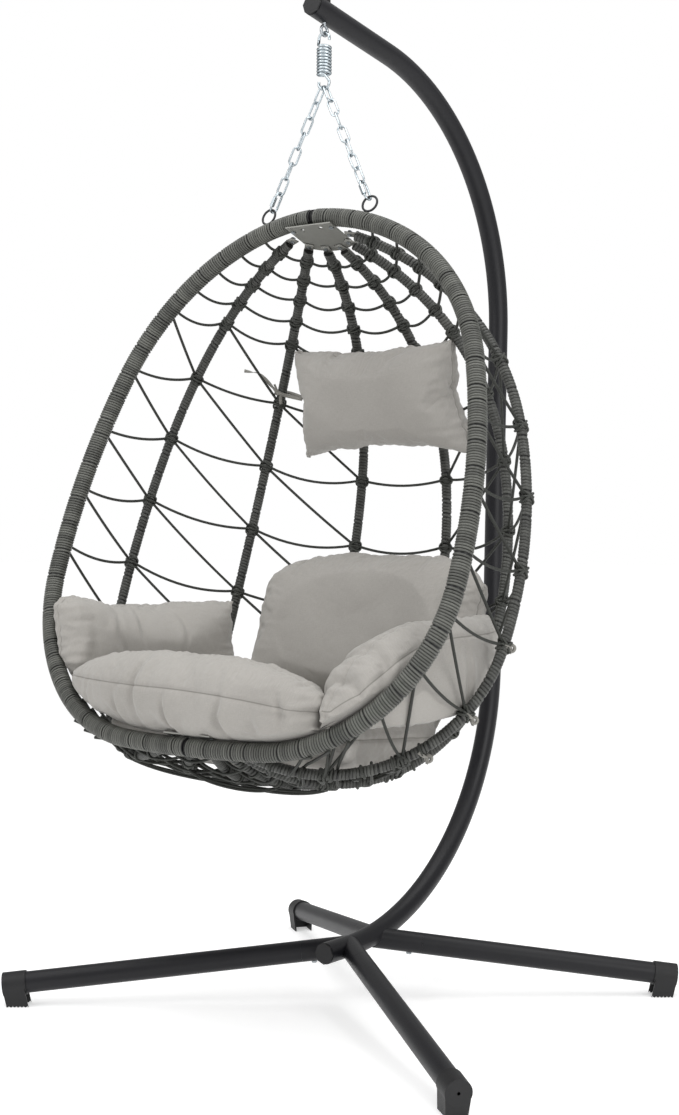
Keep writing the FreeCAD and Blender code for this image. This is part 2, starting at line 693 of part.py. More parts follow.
def hoop_chain(trim):
    """Arcs of the right hoop half in the basket's frame, ended short of the middle."""
    fold = size("half_fold")
    outward = polar(fold)
    crown, crown_turn = size("hoop_crown"), size("hoop_crown_turn")
    side, side_turn = size("hoop_side"), size("hoop_side_turn")
    heel, heel_turn = size("hoop_heel"), size("hoop_heel_turn")
    first = math.degrees(math.asin(trim / crown))
    begin = outward * trim + DOWN * (crown * (1 - math.cos(math.radians(first))))
    edges, point, way = arc_chain(
        begin, first, [(crown, crown_turn - first), (side, side_turn), (heel, heel_turn)], outward, DOWN
    )
    across = point.dot(outward)
    last = across / math.sin(math.radians(way))
    stop = 180 - math.degrees(math.asin(trim / last))
    more, point, way = arc_chain(point, way, [(last, stop - way)], outward, DOWN)
    return edges + more


def rib_chain(angle):
    """Arcs of a rib in the basket's frame, in a plane turned from straight back."""
    outward = polar(90 - angle)
    start = outward * size("rib_circle") + Z * rib_top_z
    upper_part = [
        (size("rib_crown"), size("rib_crown_turn")),
        (size("rib_side"), size("rib_side_turn")),
    ]
    edges, point, way = arc_chain(start, size("rib_heading"), upper_part, outward, DOWN)
    heel = size("rib_heel")
    inward = point.dot(outward) - size("rib_circle")
    end = 180 - math.degrees(math.asin(math.sin(math.radians(way)) - inward / heel))
    more, point, way = arc_chain(point, way, [(heel, end - way)], outward, DOWN)
    return edges + more, way


# Hoop halves
hoop_r = size("hoop_dia") / 2
hoop_end_gap = size("hoop_split") / 2 + size("hoop_plug_head")
hoop_full = hoop_chain(size("hoop_split") / 100)
right_hoop_edges = hoop_chain(hoop_end_gap)
hoop_half = bend(right_hoop_edges, hoop_r, HOOP_SIDES)
crown_sag = size("hoop_crown") - math.sqrt(size("hoop_crown") ** 2 - size("plate_reach") ** 2)
plate_top_z = -hoop_r - crown_sag - size("rest_gap")
bottom_arc = hoop_full[-1]
hoop_low = min(vertex.Point.z for vertex in bottom_arc.Vertexes)
base_radius = bottom_arc.Curve.Radius
base_sag = base_radius - math.sqrt(base_radius**2 - size("plate_reach") ** 2)
plate_low_z = hoop_low + base_sag + hoop_r + size("rest_gap") + size("plate_thick")
small_r = size("small_bolt") / 2
bolt_x = size("hoop_bolt_at")
fold_back = math.tan(math.radians(size("half_fold")))
hoop_bolts = []
for z_seat, inward in ((plate_top_z - size("plate_thick"), 1), (plate_low_z, -1)):
    seat = Vector(bolt_x, bolt_x * fold_back, z_seat)
    into = Z * inward
    shank_end = seat + into * (hoop_r + size("plate_thick"))
    drilled = cylinder(small_r + size("bolt_gap"), seat - into, shank_end + into)
    hoop_half = hoop_half.cut(drilled)
    screw = cylinder(small_r, seat, shank_end)
    head = cylinder(size("small_head") / 2, seat - into * size("small_head_high"), seat)
    hoop_bolts.append(screw.fuse(head))
hoop_bolts += [mirror_x(s) for s in hoop_bolts]
solid("hoop_right", hoop_half, basket)
solid("hoop_left", mirror_x(hoop_half), basket)
solid("hoop_bolts", Part.makeCompound(hoop_bolts), basket)

plugs = []
for edge, at_start in ((right_hoop_edges[0], True), (right_hoop_edges[-1], False)):
    mark = edge.FirstParameter if at_start else edge.LastParameter
    point, way = edge.valueAt(mark), edge.tangentAt(mark)
    if abs(point.x) > 2 * hoop_r:
        mark = edge.LastParameter if at_start else edge.FirstParameter
        point, way = edge.valueAt(mark), edge.tangentAt(mark)
    if way.x > 0:
        way = way.negative()
    cap = cylinder(hoop_r - size("hoop_plug_in"), point, point + way * size("hoop_plug_head"))
    plugs.append(cap)
plugs += [mirror_x(s) for s in plugs]
solid("hoop_plugs", Part.makeCompound(plugs), basket)

# Ribs with flattened, bored ends under the two plates
rib_top_z = plate_top_z - size("plate_thick") - size("rest_gap") - size("tab_thick") / 2
rib_r = size("rib_dia") / 2
circle = size("rib_circle")
tab_thick = size("tab_thick")
angles = [size("rib_spread") * (k - 2.5) for k in range(6)]
rib_ends = []
rib_bolts = []
RIB_EDGES = []
for number, angle in enumerate(angles, start=1):
    edges, end_way = rib_chain(angle)
    RIB_EDGES.append(edges)
    outward = polar(90 - angle)
    bar = bend(edges, rib_r, RIB_SIDES)
    tabs = []
    for plate_z in (plate_top_z, plate_low_z):
        top = plate_z - size("plate_thick") - size("rest_gap")
        base = outward * (circle - size("tab_wide") / 2) + Z * (top - tab_thick)
        tab = Part.makeBox(size("tab_long") + size("tab_wide") / 2, size("tab_wide"), tab_thick)
        tab = tab.translated(Vector(0, -size("tab_wide") / 2, 0))
        tab.Placement = Placement(base, Rotation(X, outward))
        pin_foot = outward * circle + Z * (top - tab_thick)
        pin_head = pin_foot + Z * (tab_thick + size("plate_thick") + size("rest_gap"))
        tabs.append((tab, pin_foot, pin_head))
    clear = size("plate_rim") + size("rest_gap")
    blocks = []
    for tab, pin_foot, pin_head in tabs:
        around = Part.makeCylinder(circle + clear, 6 * rib_r, Vector(0, 0, pin_foot.z - 3 * rib_r), Z)
        blocks.append(around)
    for block in blocks:
        bar = bar.cut(block)
    for tab, pin_foot, pin_head in tabs:
        bar = bar.fuse(tab)
    for tab, pin_foot, pin_head in tabs:
        bar = bar.cut(cylinder(small_r + size("bolt_gap"), pin_foot - Z, pin_head + Z))
        head_high = Z * size("small_head_high")
        pin = cylinder(small_r, pin_foot, pin_head)
        hex_r = size("small_head") / 2
        low_head = Part.Face(section(hex_r, pin_foot - head_high, Z, 6)).extrude(head_high)
        high_head = Part.Face(section(hex_r, pin_head, Z, 6)).extrude(head_high)
        rib_bolts.append(pin.fuse([low_head, high_head]))
    solid(f"rib_{number}", bar.removeSplitter(), basket)
solid("rib_bolts", Part.makeCompound(rib_bolts), basket)

# The plates: straight under the hoop, round behind it past the circle of rib bolts
for name, z_top in (("plate_top", plate_top_z), ("plate_bottom", plate_low_z)):
    reach, front = size("plate_reach"), size("plate_front")
    outer = circle + size("plate_rim")
    corner = math.degrees(math.acos(reach / outer))
    body = doc.addObject("PartDesign::Body", name)
    sketch = body.newObject("Sketcher::SketchObject", name + "_outline")
    planes = {f.Role: f for f in body.Origin.OriginFeatures}
    sketch.AttachmentSupport = [(planes["XY_Plane"], "")]
    sketch.MapMode = "FlatFace"
    right, left = polar(corner) * outer, polar(180 - corner) * outer
    sketch.addGeometry(Part.ArcOfCircle(Part.Circle(Vector(), Z, outer), math.radians(corner),
                                        math.radians(180 - corner)))
    sketch.addGeometry(Part.LineSegment(left, Vector(-reach, -front, 0)))
    sketch.addGeometry(Part.LineSegment(Vector(-reach, -front, 0), Vector(reach, -front, 0)))
    sketch.addGeometry(Part.LineSegment(Vector(reach, -front, 0), right))
    C = Sketcher.Constraint
    sketch.addConstraint(C("Coincident", 0, 2, 1, 1))
    sketch.addConstraint(C("Coincident", 1, 2, 2, 1))
    sketch.addConstraint(C("Coincident", 2, 2, 3, 1))
    sketch.addConstraint(C("Coincident", 3, 2, 0, 1))
    sketch.addConstraint(C("Coincident", 0, 3, -1, 1))
    sketch.addConstraint(C("Vertical", 1))
    sketch.addConstraint(C("Vertical", 3))
    sketch.addConstraint(C("Horizontal", 2))
    for index, value, rule in (
        (C("Radius", 0, outer), outer, "rib_circle + plate_rim"),
        (C("DistanceX", -1, 1, 2, 2, reach), reach, "plate_reach"),
        (C("DistanceX", 2, 1, -1, 1, reach), reach, "plate_reach"),
        (C("DistanceY", 2, 2, -1, 1, front), front, "plate_front"),
    ):
        at = sketch.addConstraint(index)
        sketch.setExpression(f"Constraints[{at}]", bind(rule))
    pad = body.newObject("PartDesign::Pad", name + "_pad")
    pad.Profile = (sketch, [""])
    pad.setExpression("Length", bind("plate_thick"))
    pad.Reversed = True
    bores = body.newObject("Sketcher::SketchObject", name + "_bores")
    bores.AttachmentSupport = [(planes["XY_Plane"], "")]
    bores.MapMode = "FlatFace"
    spots = []
    for hand in (-1, 1):
        spots.append((Vector(hand * size("plate_hole_at"), 0, 0), size("plate_hole") / 2))
        spots.append((Vector(hand * bolt_x, bolt_x * fold_back, 0), small_r + size("bolt_gap")))
    for angle in angles:
        spots.append((polar(90 - angle) * circle, small_r + size("bolt_gap")))
    for at, (spot, radius) in enumerate(spots):
        bores.addGeometry(Part.Circle(spot, Z, radius))
        bores.addConstraint(C("DistanceX", -1, 1, at, 3, spot.x))
        if spot.y:
            bores.addConstraint(C("DistanceY", -1, 1, at, 3, spot.y))
        else:
            bores.addConstraint(C("PointOnObject", at, 3, -1))
        bores.addConstraint(C("Radius", at, radius))
    drill = body.newObject("PartDesign::Pocket", name + "_drill")
    drill.Profile = (bores, [""])
    drill.setExpression("Length", bind("plate_thick * 3"))
    drill.Midplane = True
    body.Tip = drill
    keep(name, body, basket.multiply(Placement(Z * z_top, Rotation())))

# Rings that stand on the hoop, in the plane of its half
wire_size = size("ring_wire")
ring_along = size("hoop_crown") * math.asin(size("ring_at") / size("hoop_crown"))
ring_mark, ring_way = place_on(hoop_full, ring_along)
ring_out = Vector(ring_way).cross(polar(size("half_fold") + 90)).normalize()
if ring_out.z < 0:
    ring_out = ring_out.negative()
ring_stand = hoop_r + size("rest_gap") + size("ring_radius") + wire_size / 2
ring_middle = ring_mark + ring_out * ring_stand
ring_flat = polar(size("half_fold") + 90)


right_ring = round_ring(ring_middle, ring_flat, size("ring_radius"), wire_size / 2, 8)
solid("rim_rings", Part.makeCompound([right_ring, mirror_x(right_ring)]), basket)

# The chains: from the lower hook to the rings, links turned evenly from one to the next
hang_up = math.sqrt(hook_r**2 - size("chain_part") ** 2)
hang = low_hook_middle + X * size("chain_part") - Z * hang_up
ring_world = basket.multVec(ring_middle)
ring_normal = basket.Rotation.multVec(ring_flat)
toward = hang - ring_world
toward = (toward - ring_normal * toward.dot(ring_normal)).normalize()
catch = ring_world + toward * size("ring_radius")
line = catch - hang
drop = Vector(line).normalize()
chain_r = size("chain_wire") / 2
quick_r = size("quick_wire") / 2
gap = size("rest_gap")
top_hold = wire_r + chain_r + gap
mid_hold = chain_r + quick_r + gap
end_hold = wire_size / 2 + quick_r + gap
links = whole("link_count")
chain_span = line.Length + top_hold + mid_hold + end_hold - size("quick_length")
link_bore = (chain_span - size("chain_wire") + gap * (links - 1)) / links
link_mid = link_bore + size("chain_wire")
link_step = link_bore - gap
flat_way = drop.cross(Y).normalize()
cross_way = Y
link_turn = 90 + 90.0 / links


def oval(middle, along, normal, half_long, half_wide, wire, sides):
    """Closed link of many-sided wire: two straights and two half rings."""
    side = normal.cross(along).normalize()
    straight = half_long - half_wide
    pieces = []
    for hand in (-1, 1):
        start = middle + side * (half_wide * hand) - along * straight
        face = Part.Face(section(wire, start, along, sides))
        pieces.append(face.extrude(along * (2 * straight)))
        turn_at = middle + along * (straight * hand)
        end_face = Part.Face(section(wire, turn_at + side * half_wide, along, sides))
        pieces.append(end_face.revolve(turn_at, normal, -180 * hand))
    return pieces[0].fuse(pieces[1:]).removeSplitter()


chain = []
first_middle = hang - drop * top_hold + drop * (link_mid / 2)
for k in range(links):
    twist = math.radians(link_turn * k)
    normal = flat_way * math.cos(twist) + cross_way * math.sin(twist)
    normal = (normal - drop * normal.dot(drop)).normalize()
    middle = first_middle + drop * (link_step * k)
    chain.append(oval(middle, drop, normal, link_mid / 2, size("link_half"), chain_r, 6))
solid("chain_right", Part.makeCompound(chain))
solid("chain_left", Part.makeCompound([mirror_x(s) for s in chain]))

quick_middle = catch + drop * (end_hold - size("quick_length") / 2)
quick_normal = flat_way
quick = oval(quick_middle, drop, quick_normal, size("quick_length") / 2, size("quick_half"), quick_r, 8)
sleeve_side = quick_normal.cross(drop).normalize()
if sleeve_side.y > 0:
    sleeve_side = sleeve_side.negative()
sleeve_at = quick_middle + sleeve_side * size("quick_half") - drop * (size("sleeve_long") / 2)
sleeve_run = drop * size("sleeve_long")
sleeve = Part.Face(section(size("sleeve_dia") / 2, sleeve_at, drop, 6)).extrude(sleeve_run)
sleeve_bore = cylinder(quick_r + gap / 3, sleeve_at - drop, sleeve_at + sleeve_run + drop)
sleeve = sleeve.cut(sleeve_bore)
solid("quick_links", Part.makeCompound([quick, mirror_x(quick)]))
solid("quick_link_sleeves", Part.makeCompound([sleeve, mirror_x(sleeve)]))

# The net: ropes between neighbouring tubes, rungs and one diagonal per field
rope_r = size("rope_dia") / 2


def rope(from_point, from_way, from_r, to_point, to_way, to_r):
    """Straight rope between two tubes' axes, ended just in front of each tube."""
    run = (to_point - from_point).normalize()
    ends = []
    for point, way, radius, sign in ((from_point, from_way, from_r, 1), (to_point, to_way, to_r, -1)):
        cosine = abs(run.dot(way))
        sine = math.sqrt(max(1e-6, 1 - cosine**2))
        back = (radius + rope_r * cosine) / sine + size("rope_gap")
        ends.append(point + run * (back * sign))
    face = Part.Face(section(rope_r, ends[0], run, 6))
    return face.extrude(ends[1] - ends[0])


stations = [size("first_rung") + size("rung_step") * k for k in range(whole("top_rungs"))]
stations += [stations[-1] + size("knot_step") * (k + 1) for k in range(whole("low_rungs"))]


def rim_station(length):
    """Length along the hoop that faces a length along its neighbour rib."""
    return size("rim_lead") + size("rim_rate") * length - size("rim_slack") * length**2


hoop_marks = [place_on(hoop_full, rim_station(length)) for length in stations]
rib_marks = [[place_on(edges, length) for length in stations] for edges in RIB_EDGES]
left_marks = [(Vector(-p.x, p.y, p.z), Vector(-w.x, w.y, w.z)) for p, w in hoop_marks]
rows = [left_marks] + rib_marks + [hoop_marks]
radii = [hoop_r] + [rib_r] * 6 + [hoop_r]
for bay in range(7):
    ropes = []
    near, far = rows[bay], rows[bay + 1]
    for k in range(len(stations)):
        ropes.append(rope(near[k][0], near[k][1], radii[bay], far[k][0], far[k][1], radii[bay + 1]))
    for k in range(whole("top_rungs") - 1, len(stations) - 1):
        if bay < 3:
            ropes.append(
                rope(near[k][0], near[k][1], radii[bay], far[k + 1][0], far[k + 1][1], radii[bay + 1])
            )
        elif bay > 3:
            ropes.append(
                rope(near[k + 1][0], near[k + 1][1], radii[bay], far[k][0], far[k][1], radii[bay + 1])
            )
    solid(f"net_bay_{bay + 1}", Part.makeCompound(ropes), basket)

# Cushions: crowned pads, drawn in at their sides. Each station gives its place as a share of
# the half length, the crown there as a share of the full one, and the depth at the edge
PAD_STATIONS = [
    (-1.0, 0.12, 0.94),
    (-0.92, 0.52, 1.0),
    (-0.6, 0.87, 1.0),
    (0.0, 1.0, 1.0),
    (0.6, 0.87, 1.0),
    (0.92, 0.52, 1.0),
    (1.0, 0.12, 0.94),
]
END_SEAM = 0.8


def pad(long, deep, thick, seam):
    """Crowned pad with its long side along X, its depth along Y and its crown along Z."""
    sections = []
    for share, full, width in PAD_STATIONS:
        crown = max(seam, thick * full) / 2
        half = deep / 2 * width * (1 - size("pad_draw") * (1 - share**2))
        edge = seam / 2 * (END_SEAM if abs(share) == 1 else 1)
        x = long / 2 * share
        corners = [
            Vector(x, -half, edge),
            Vector(x, half, edge),
            Vector(x, half, -edge),
            Vector(x, -half, -edge),
        ]
        rim = [
            Part.Arc(corners[0], Vector(x, 0, crown), corners[1]).toShape(),
            Part.makeLine(corners[1], corners[2]),
            Part.Arc(corners[2], Vector(x, 0, -crown), corners[3]).toShape(),
            Part.makeLine(corners[3], corners[0]),
        ]
        sections.append(Part.Wire(rim))
    return Part.makeLoft(sections, True, True)


for name, key, hand in (
    ("cushion_seat", "seat", 1),
    ("cushion_roll", "roll", 1),
    ("cushion_arm_right", "arm", 1),
    ("cushion_arm_left", "arm", -1),
    ("cushion_back", "back", 1),
    ("pillow_head", "head", 1),
):
    shape = pad(size(key + "_long"), size(key + "_deep"), size(key + "_thick"), size("pad_seam"))
    centre = basket_top + Vector(hand * size(key + "_x"), size(key + "_y"), size(key + "_z"))
    turn = Rotation(Z, hand * size(key + "_yaw")).multiply(Rotation(X, size(key + "_lean")))
    solid(name, shape, Placement(centre, turn))

doc.recompute()
faults = [o.Name for o in doc.Objects if "Invalid" in o.State or "Error" in o.State]
if faults:
    raise RuntimeError(f"failed objects: {faults}")
for name, obj in SUBPARTS.items():
    if obj.Shape.isNull() or not obj.Shape.isValid() or not obj.Shape.Solids:
        raise RuntimeError(f"{name} has no valid solid")

os.makedirs("parts", exist_ok=True)
for name, obj in SUBPARTS.items():
    obj.Shape.exportStep(f"parts/{name}.step")
print(f"{len(SUBPARTS)} sub-parts written")
print(f"upper hook in the eye at z {eye_low.z + size('eye_wire') / 2 + gap / 2:.2f}")
print(f"lower hook's middle at y {low_hook_middle.y:.2f}, z {low_hook_middle.z:.2f}")
print(f"rings' line at y {catch.y:.2f}, z {catch.z:.2f}")
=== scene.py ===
"""Looks of the hanging egg chair: finishes on the stand, wound hoop and ribs, knotted net,
smooth spring and chains, and stuffed cushions. Shapes are drawn in millimetres and placed once."""

import math
import random
from typing import NamedTuple

import bmesh
import bpy
import numpy as np
from mathutils import Matrix, Vector, noise
from mathutils.bvhtree import BVHTree


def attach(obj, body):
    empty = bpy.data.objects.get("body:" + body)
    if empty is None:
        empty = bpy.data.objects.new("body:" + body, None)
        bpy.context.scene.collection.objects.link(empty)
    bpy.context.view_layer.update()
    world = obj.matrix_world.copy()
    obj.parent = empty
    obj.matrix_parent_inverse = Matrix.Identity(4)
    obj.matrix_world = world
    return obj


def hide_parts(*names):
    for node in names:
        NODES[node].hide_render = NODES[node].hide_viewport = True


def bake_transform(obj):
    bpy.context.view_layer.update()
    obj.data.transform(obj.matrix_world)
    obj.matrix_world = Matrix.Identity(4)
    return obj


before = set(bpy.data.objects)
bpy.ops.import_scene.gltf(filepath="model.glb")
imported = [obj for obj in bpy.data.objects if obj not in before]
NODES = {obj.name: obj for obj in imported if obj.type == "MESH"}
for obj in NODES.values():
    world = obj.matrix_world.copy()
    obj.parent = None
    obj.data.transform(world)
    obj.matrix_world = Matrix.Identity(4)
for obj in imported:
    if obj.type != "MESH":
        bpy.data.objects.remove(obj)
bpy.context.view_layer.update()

SCENE = bpy.context.scene
X, Y, Z = Vector((1, 0, 0)), Vector((0, 1, 0)), Vector((0, 0, 1))

# The basket leans back about the hoop's top point. CHAIR takes its millimetres to the chair's,
# BASKET takes them to metres, and FALL is straight down as the basket has it
MM = Matrix.Scale(0.001, 4)
TOP = Vector((0.0, -161.4, 1538.8))
TILT = math.radians(19.91)
LEAN = Matrix.Rotation(-TILT, 4, "X")
CHAIR = Matrix.Translation(TOP) @ LEAN
BASKET = MM @ Matrix.Translation(TOP) @ LEAN
FALL = Vector((0.0, math.sin(TILT), -math.cos(TILT)))


# Finishes

EDGE_TINT = (0.16, 0.17, 0.18, 1.0)  # of plated steel where it turns away
BRAID = 2.4  # strands of a rope, in radians to a millimetre
YARN = 8500.0  # yarns of the cloth, in radians to a metre


class Number:
    """A value in a finish's nodes; arithmetic on it adds Math nodes."""

    def __init__(self, finish, socket):
        self.finish = finish
        self.socket = socket

    def math(self, operation, first, second=0.0):
        values = {0: first, 1: second}
        node = self.finish.node("ShaderNodeMath", {"operation": operation}, values)
        return Number(self.finish, node.outputs[0])

    def __add__(self, other):
        return self.math("ADD", self, other)

    def __sub__(self, other):
        return self.math("SUBTRACT", self, other)

    def __mul__(self, other):
        return self.math("MULTIPLY", self, other)

    def __pow__(self, other):
        return self.math("POWER", self, other)

    def sine(self):
        return self.math("SINE", self)

    def size(self):
        return self.math("ABSOLUTE", self)

    def band(self, low, high):
        """0 below low, 1 above high, smooth between."""
        settings = {"interpolation_type": "SMOOTHSTEP"}
        node = self.finish.node("ShaderNodeMapRange", settings, {0: self, 1: low, 2: high})
        return Number(self.finish, node.outputs[0])


def shade(red, green, blue):
    """Linear colour of a screen colour from 0 to 255."""
    return tuple(((c / 255 + 0.055) / 1.055) ** 2.4 for c in (red, green, blue)) + (1.0,)


class Finish:
    """A procedural material with one main shader."""

    def __init__(self, name, **fixed):
        self.material = bpy.data.materials.new(name)
        self.material.use_nodes = True
        self.tree = self.material.node_tree
        self.shader = self.tree.nodes["Principled BSDF"]
        for key, value in fixed.items():
            self.shader.inputs[key.replace("_", " ")].default_value = value

    def node(self, kind, settings=None, values=None):
        """Any node: its settings first, then the values or links of its sockets."""
        node = self.tree.nodes.new(kind)
        for key, value in (settings or {}).items():
            if key == "stops":
                while len(node.color_ramp.elements) < len(value):
                    node.color_ramp.elements.new(0.5)
                for stop, (place, colour) in zip(node.color_ramp.elements, value):
                    stop.position = place
                    stop.color = colour
            else:
                setattr(node, key, value)
        for key, value in (values or {}).items():
            self.put(node.inputs[key], value)
        return node

    def put(self, socket, value):
        if isinstance(value, Number):
            self.tree.links.new(value.socket, socket)
        elif isinstance(value, bpy.types.NodeSocket):
            self.tree.links.new(value, socket)
        else:
            socket.default_value = value

    def place(self, stretch=(1, 1, 1), source="Object"):
        """Object coordinates or the piece's own map, stretched."""
        start = self.node("ShaderNodeTexCoord").outputs[source]
        return self.node("ShaderNodeMapping", {}, {"Vector": start, "Scale": stretch}).outputs[0]

    def grain(self, scale, detail=3.0, stretch=(1, 1, 1), source="Object"):
        """Noise from 0 to 1."""
        values = {"Vector": self.place(stretch, source), "Scale": scale, "Detail": detail}
        return Number(self, self.node("ShaderNodeTexNoise", {}, values).outputs[0])

    def attribute(self, name):
        node = self.node("ShaderNodeAttribute", {"attribute_name": name})
        return Number(self, node.outputs["Fac"])

    def axes(self, source="Object"):
        split = self.node("ShaderNodeSeparateXYZ", {}, {0: self.place(source=source)})
        return [Number(self, out) for out in split.outputs]

    def colour(self, mask, low, high):
        """Base colour from one colour to another."""
        stops = [(0.0, low), (1.0, high)]
        ramp = self.node("ShaderNodeValToRGB", {"stops": stops}, {0: mask})
        self.put(self.shader.inputs["Base Color"], ramp.outputs[0])

    def rough(self, value):
        self.put(self.shader.inputs["Roughness"], value)

    def bump(self, height, distance, strength=1.0):
        values = {"Height": height, "Distance": distance, "Strength": strength}
        self.put(self.shader.inputs["Normal"], self.node("ShaderNodeBump", {}, values).outputs[0])


def powder_coat(name, low, high, rough):
    """Sprayed and baked paint: a fine orange peel and faint dusty patches."""
    coat = Finish(name, Specular_IOR_Level=0.3)
    patches = coat.grain(6.0, 4.0)
    peel = coat.grain(900.0, 2.0)
    coat.colour(patches * 0.7 + peel * 0.3, low, high)
    coat.rough(patches * 0.12 + peel * 0.06 + rough)
    coat.bump(peel, 0.00025, 0.6)
    return coat.material


def moulded(name, low, high):
    """Moulded plastic with a fine spark-worn grain."""
    body = Finish(name, Specular_IOR_Level=0.4)
    grain = body.grain(1400.0, 3.0)
    cloud = body.grain(40.0, 3.0)
    body.colour(cloud, low, high)
    body.rough(cloud * 0.15 + 0.48)
    body.bump(grain, 0.0003, 0.5)
    return body.material


def plated(name, low, high, rough, brush):
    """Plated steel with faint drawing lines and dull spots, darker where it turns away."""
    metal = Finish(name, Metallic=1.0, Specular_Tint=EDGE_TINT)
    lines = metal.grain(260.0, 4.0, brush)
    spots = metal.grain(90.0, 3.0)
    metal.colour(lines * 0.5 + spots * 0.5, low, high)
    metal.rough(spots * 0.14 + lines * 0.08 + rough)
    metal.bump(lines, 0.00003, 0.25)
    return metal.material


def winding_finish(name, low, high):
    """Woven plastic cord: each turn has its own tone, with painted shade that darkens it from the
    crest down into the grooves.
    """
    cord = Finish(name, Specular_IOR_Level=0.4)
    turn = cord.attribute("turn")
    lift = cord.attribute("lift")
    fibre = cord.grain(1.0, 3.0, (0.35, 2.2, 1), "UV")
    cloud = cord.grain(9.0, 2.0)
    # painted shade: 1 on a turn's crest, falling to 0 towards the bottom of the grooves
    groove_shade = lift.band(0.42, 1.0)
    cord.colour(groove_shade * (turn * 0.42 + fibre * 0.34 + cloud * 0.1 + 0.12), low, high)
    cord.rough(fibre * 0.16 + 0.38)
    cord.bump(fibre, 0.0005, 0.7)
    return cord.material


def rope_finish(name, low, high):
    """Braided net rope."""
    rope = Finish(name, Specular_IOR_Level=0.35)
    along, around, _ = rope.axes("UV")
    right_hand = (along * BRAID + around * math.tau).sine()
    left_hand = (along * BRAID - around * math.tau).sine()
    braid = right_hand * left_hand
    fibre = rope.grain(1.2, 2.0, (0.4, 3.0, 1), "UV")
    rope.colour(braid * 0.22 + fibre * 0.4 + 0.3, low, high)
    rope.rough(fibre * 0.15 + 0.5)
    rope.bump(braid * 0.6 + fibre * 0.4, 0.0005, 0.6)
    return rope.material


def cloth_finish(name, low, high, sewn=True):
    """Plain woven polyester with a slight unevenness of the yarn, dark in the stitched lines."""
    cloth = Finish(name, Specular_IOR_Level=0.25, Sheen_Weight=0.18, Sheen_Roughness=0.5)
    warp, weft, _ = cloth.axes("UV")
    weave = (warp * YARN).sine() * (weft * YARN).sine()
    slub = cloth.grain(700.0, 2.0, (1, 0.15, 1), "UV")
    cross = cloth.grain(700.0, 2.0, (0.15, 1, 1), "UV")
    cloud = cloth.grain(5.0, 3.0)
    yarn = cloud * 0.4 + slub * 0.2 + cross * 0.2 + weave * 0.08 + 0.1
    if sewn:
        off_seam = cloth.attribute("seam").size()
        yarn = yarn * (off_seam.band(0.3, 1.7) * 0.9 + 0.1)
    cloth.colour(yarn, low, high)
    cloth.rough(cloud * 0.1 + 0.78)
    cloth.bump(weave * 0.4 + slub * 0.5 + cross * 0.5, 0.0004, 0.35)
    return cloth.material


PAINT = powder_coat("stand_paint", shade(13, 13, 16), shade(26, 26, 30), 0.32)
RING_PAINT = powder_coat("ring_paint", shade(30, 31, 33), shade(48, 49, 51), 0.3)
PLASTIC = moulded("black_plastic", shade(13, 13, 14), shade(25, 25, 27))
ZINC = plated("zinc_fixings", shade(132, 137, 141), shade(196, 201, 205), 0.2, (1, 1, 6))
STEEL = plated("bright_steel", shade(150, 160, 166), shade(206, 214, 218), 0.14, (1, 1, 8))
PLATE = plated("plate_steel", shade(132, 132, 128), shade(168, 168, 163), 0.5, (8, 1, 1))
# The low colour of each cord is the painted shade deep in the grooves and on the core
CORD = winding_finish("hoop_cord", shade(6, 7, 6), shade(110, 111, 105))
RIB_CORD = winding_finish("rib_cord", shade(16, 16, 15), shade(84, 85, 81))
ROPE = rope_finish("net_rope", shade(18, 19, 17), shade(58, 60, 55))
KNOT = rope_finish("knot_rope", shade(24, 25, 23), shade(76, 78, 73))
CLOTH = cloth_finish("cushion_cloth", shade(118, 115, 110), shade(176, 173, 168))
TAPE = cloth_finish("tie_tape", shade(96, 94, 89), shade(150, 148, 142), sewn=False)
BY_NODE = {
    "pole_upper": PAINT, "pole_lower": PAINT, "plug_arm": PLASTIC, "plug_hub": PLASTIC,
    "arm_saddle": PLASTIC, "eye_nut": ZINC, "pole_bolt": ZINC, "leg_bolts": ZINC,
    "hoop_plugs": PLASTIC, "hoop_bolts": ZINC, "rib_bolts": ZINC, "plate_top": PLATE,
    "plate_bottom": PLATE, "quick_link_sleeves": STEEL,
}
for end in ("front", "rear"):
    for side in ("left", "right"):
        BY_NODE[f"leg_{end}_{side}"] = PAINT
        BY_NODE[f"foot_{end}_{side}"] = PLASTIC
for node_name, finish in BY_NODE.items():
    NODES[node_name].data.materials.clear()
    NODES[node_name].data.materials.append(finish)


# Shared shapes

def add_piece(name, mesh, finish, body, stands_for=()):
    """A finished piece at the origin, riding on its body if it has just one."""
    mesh.materials.clear()
    mesh.materials.append(finish)
    mesh.shade_smooth()
    piece = bpy.data.objects.new(name, mesh)
    SCENE.collection.objects.link(piece)
    if body:
        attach(piece, body)
    if stands_for:
        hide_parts(*stands_for)
    return piece


def wire_mesh(lines, thick, sides, closed=False):
    """Round wire along lists of points, with a map in millimetres along and turns around."""
    curve = bpy.data.curves.new("wire", "CURVE")
    curve.dimensions = "3D"
    curve.bevel_depth = thick / 2
    curve.bevel_resolution = sides // 2 - 2
    curve.use_fill_caps = True
    for points in lines:
        spline = curve.splines.new("POLY")
        spline.points.add(len(points) - 1)
        for mark, point in zip(spline.points, points):
            mark.co = (*point, 1)
        spline.use_cyclic_u = closed
    holder = bpy.data.objects.new("wire", curve)
    SCENE.collection.objects.link(holder)
    shown = holder.evaluated_get(bpy.context.evaluated_depsgraph_get())
    mesh = bpy.data.meshes.new_from_object(shown)
    bpy.data.objects.remove(holder)
    bpy.data.curves.remove(curve)
    longest = max(sum((b - a).length for a, b in zip(p, p[1:])) for p in lines)
    for corner in mesh.uv_layers[0].data:
        corner.uv = (corner.uv[0] * longest, corner.uv[1])
    return mesh


def merged(meshes):
    """One mesh out of several, in millimetres."""
    shape = bmesh.new()
    for mesh in meshes:
        shape.from_mesh(mesh)
    whole = meshes[0].copy()
    shape.to_mesh(whole)
    shape.free()
    return whole


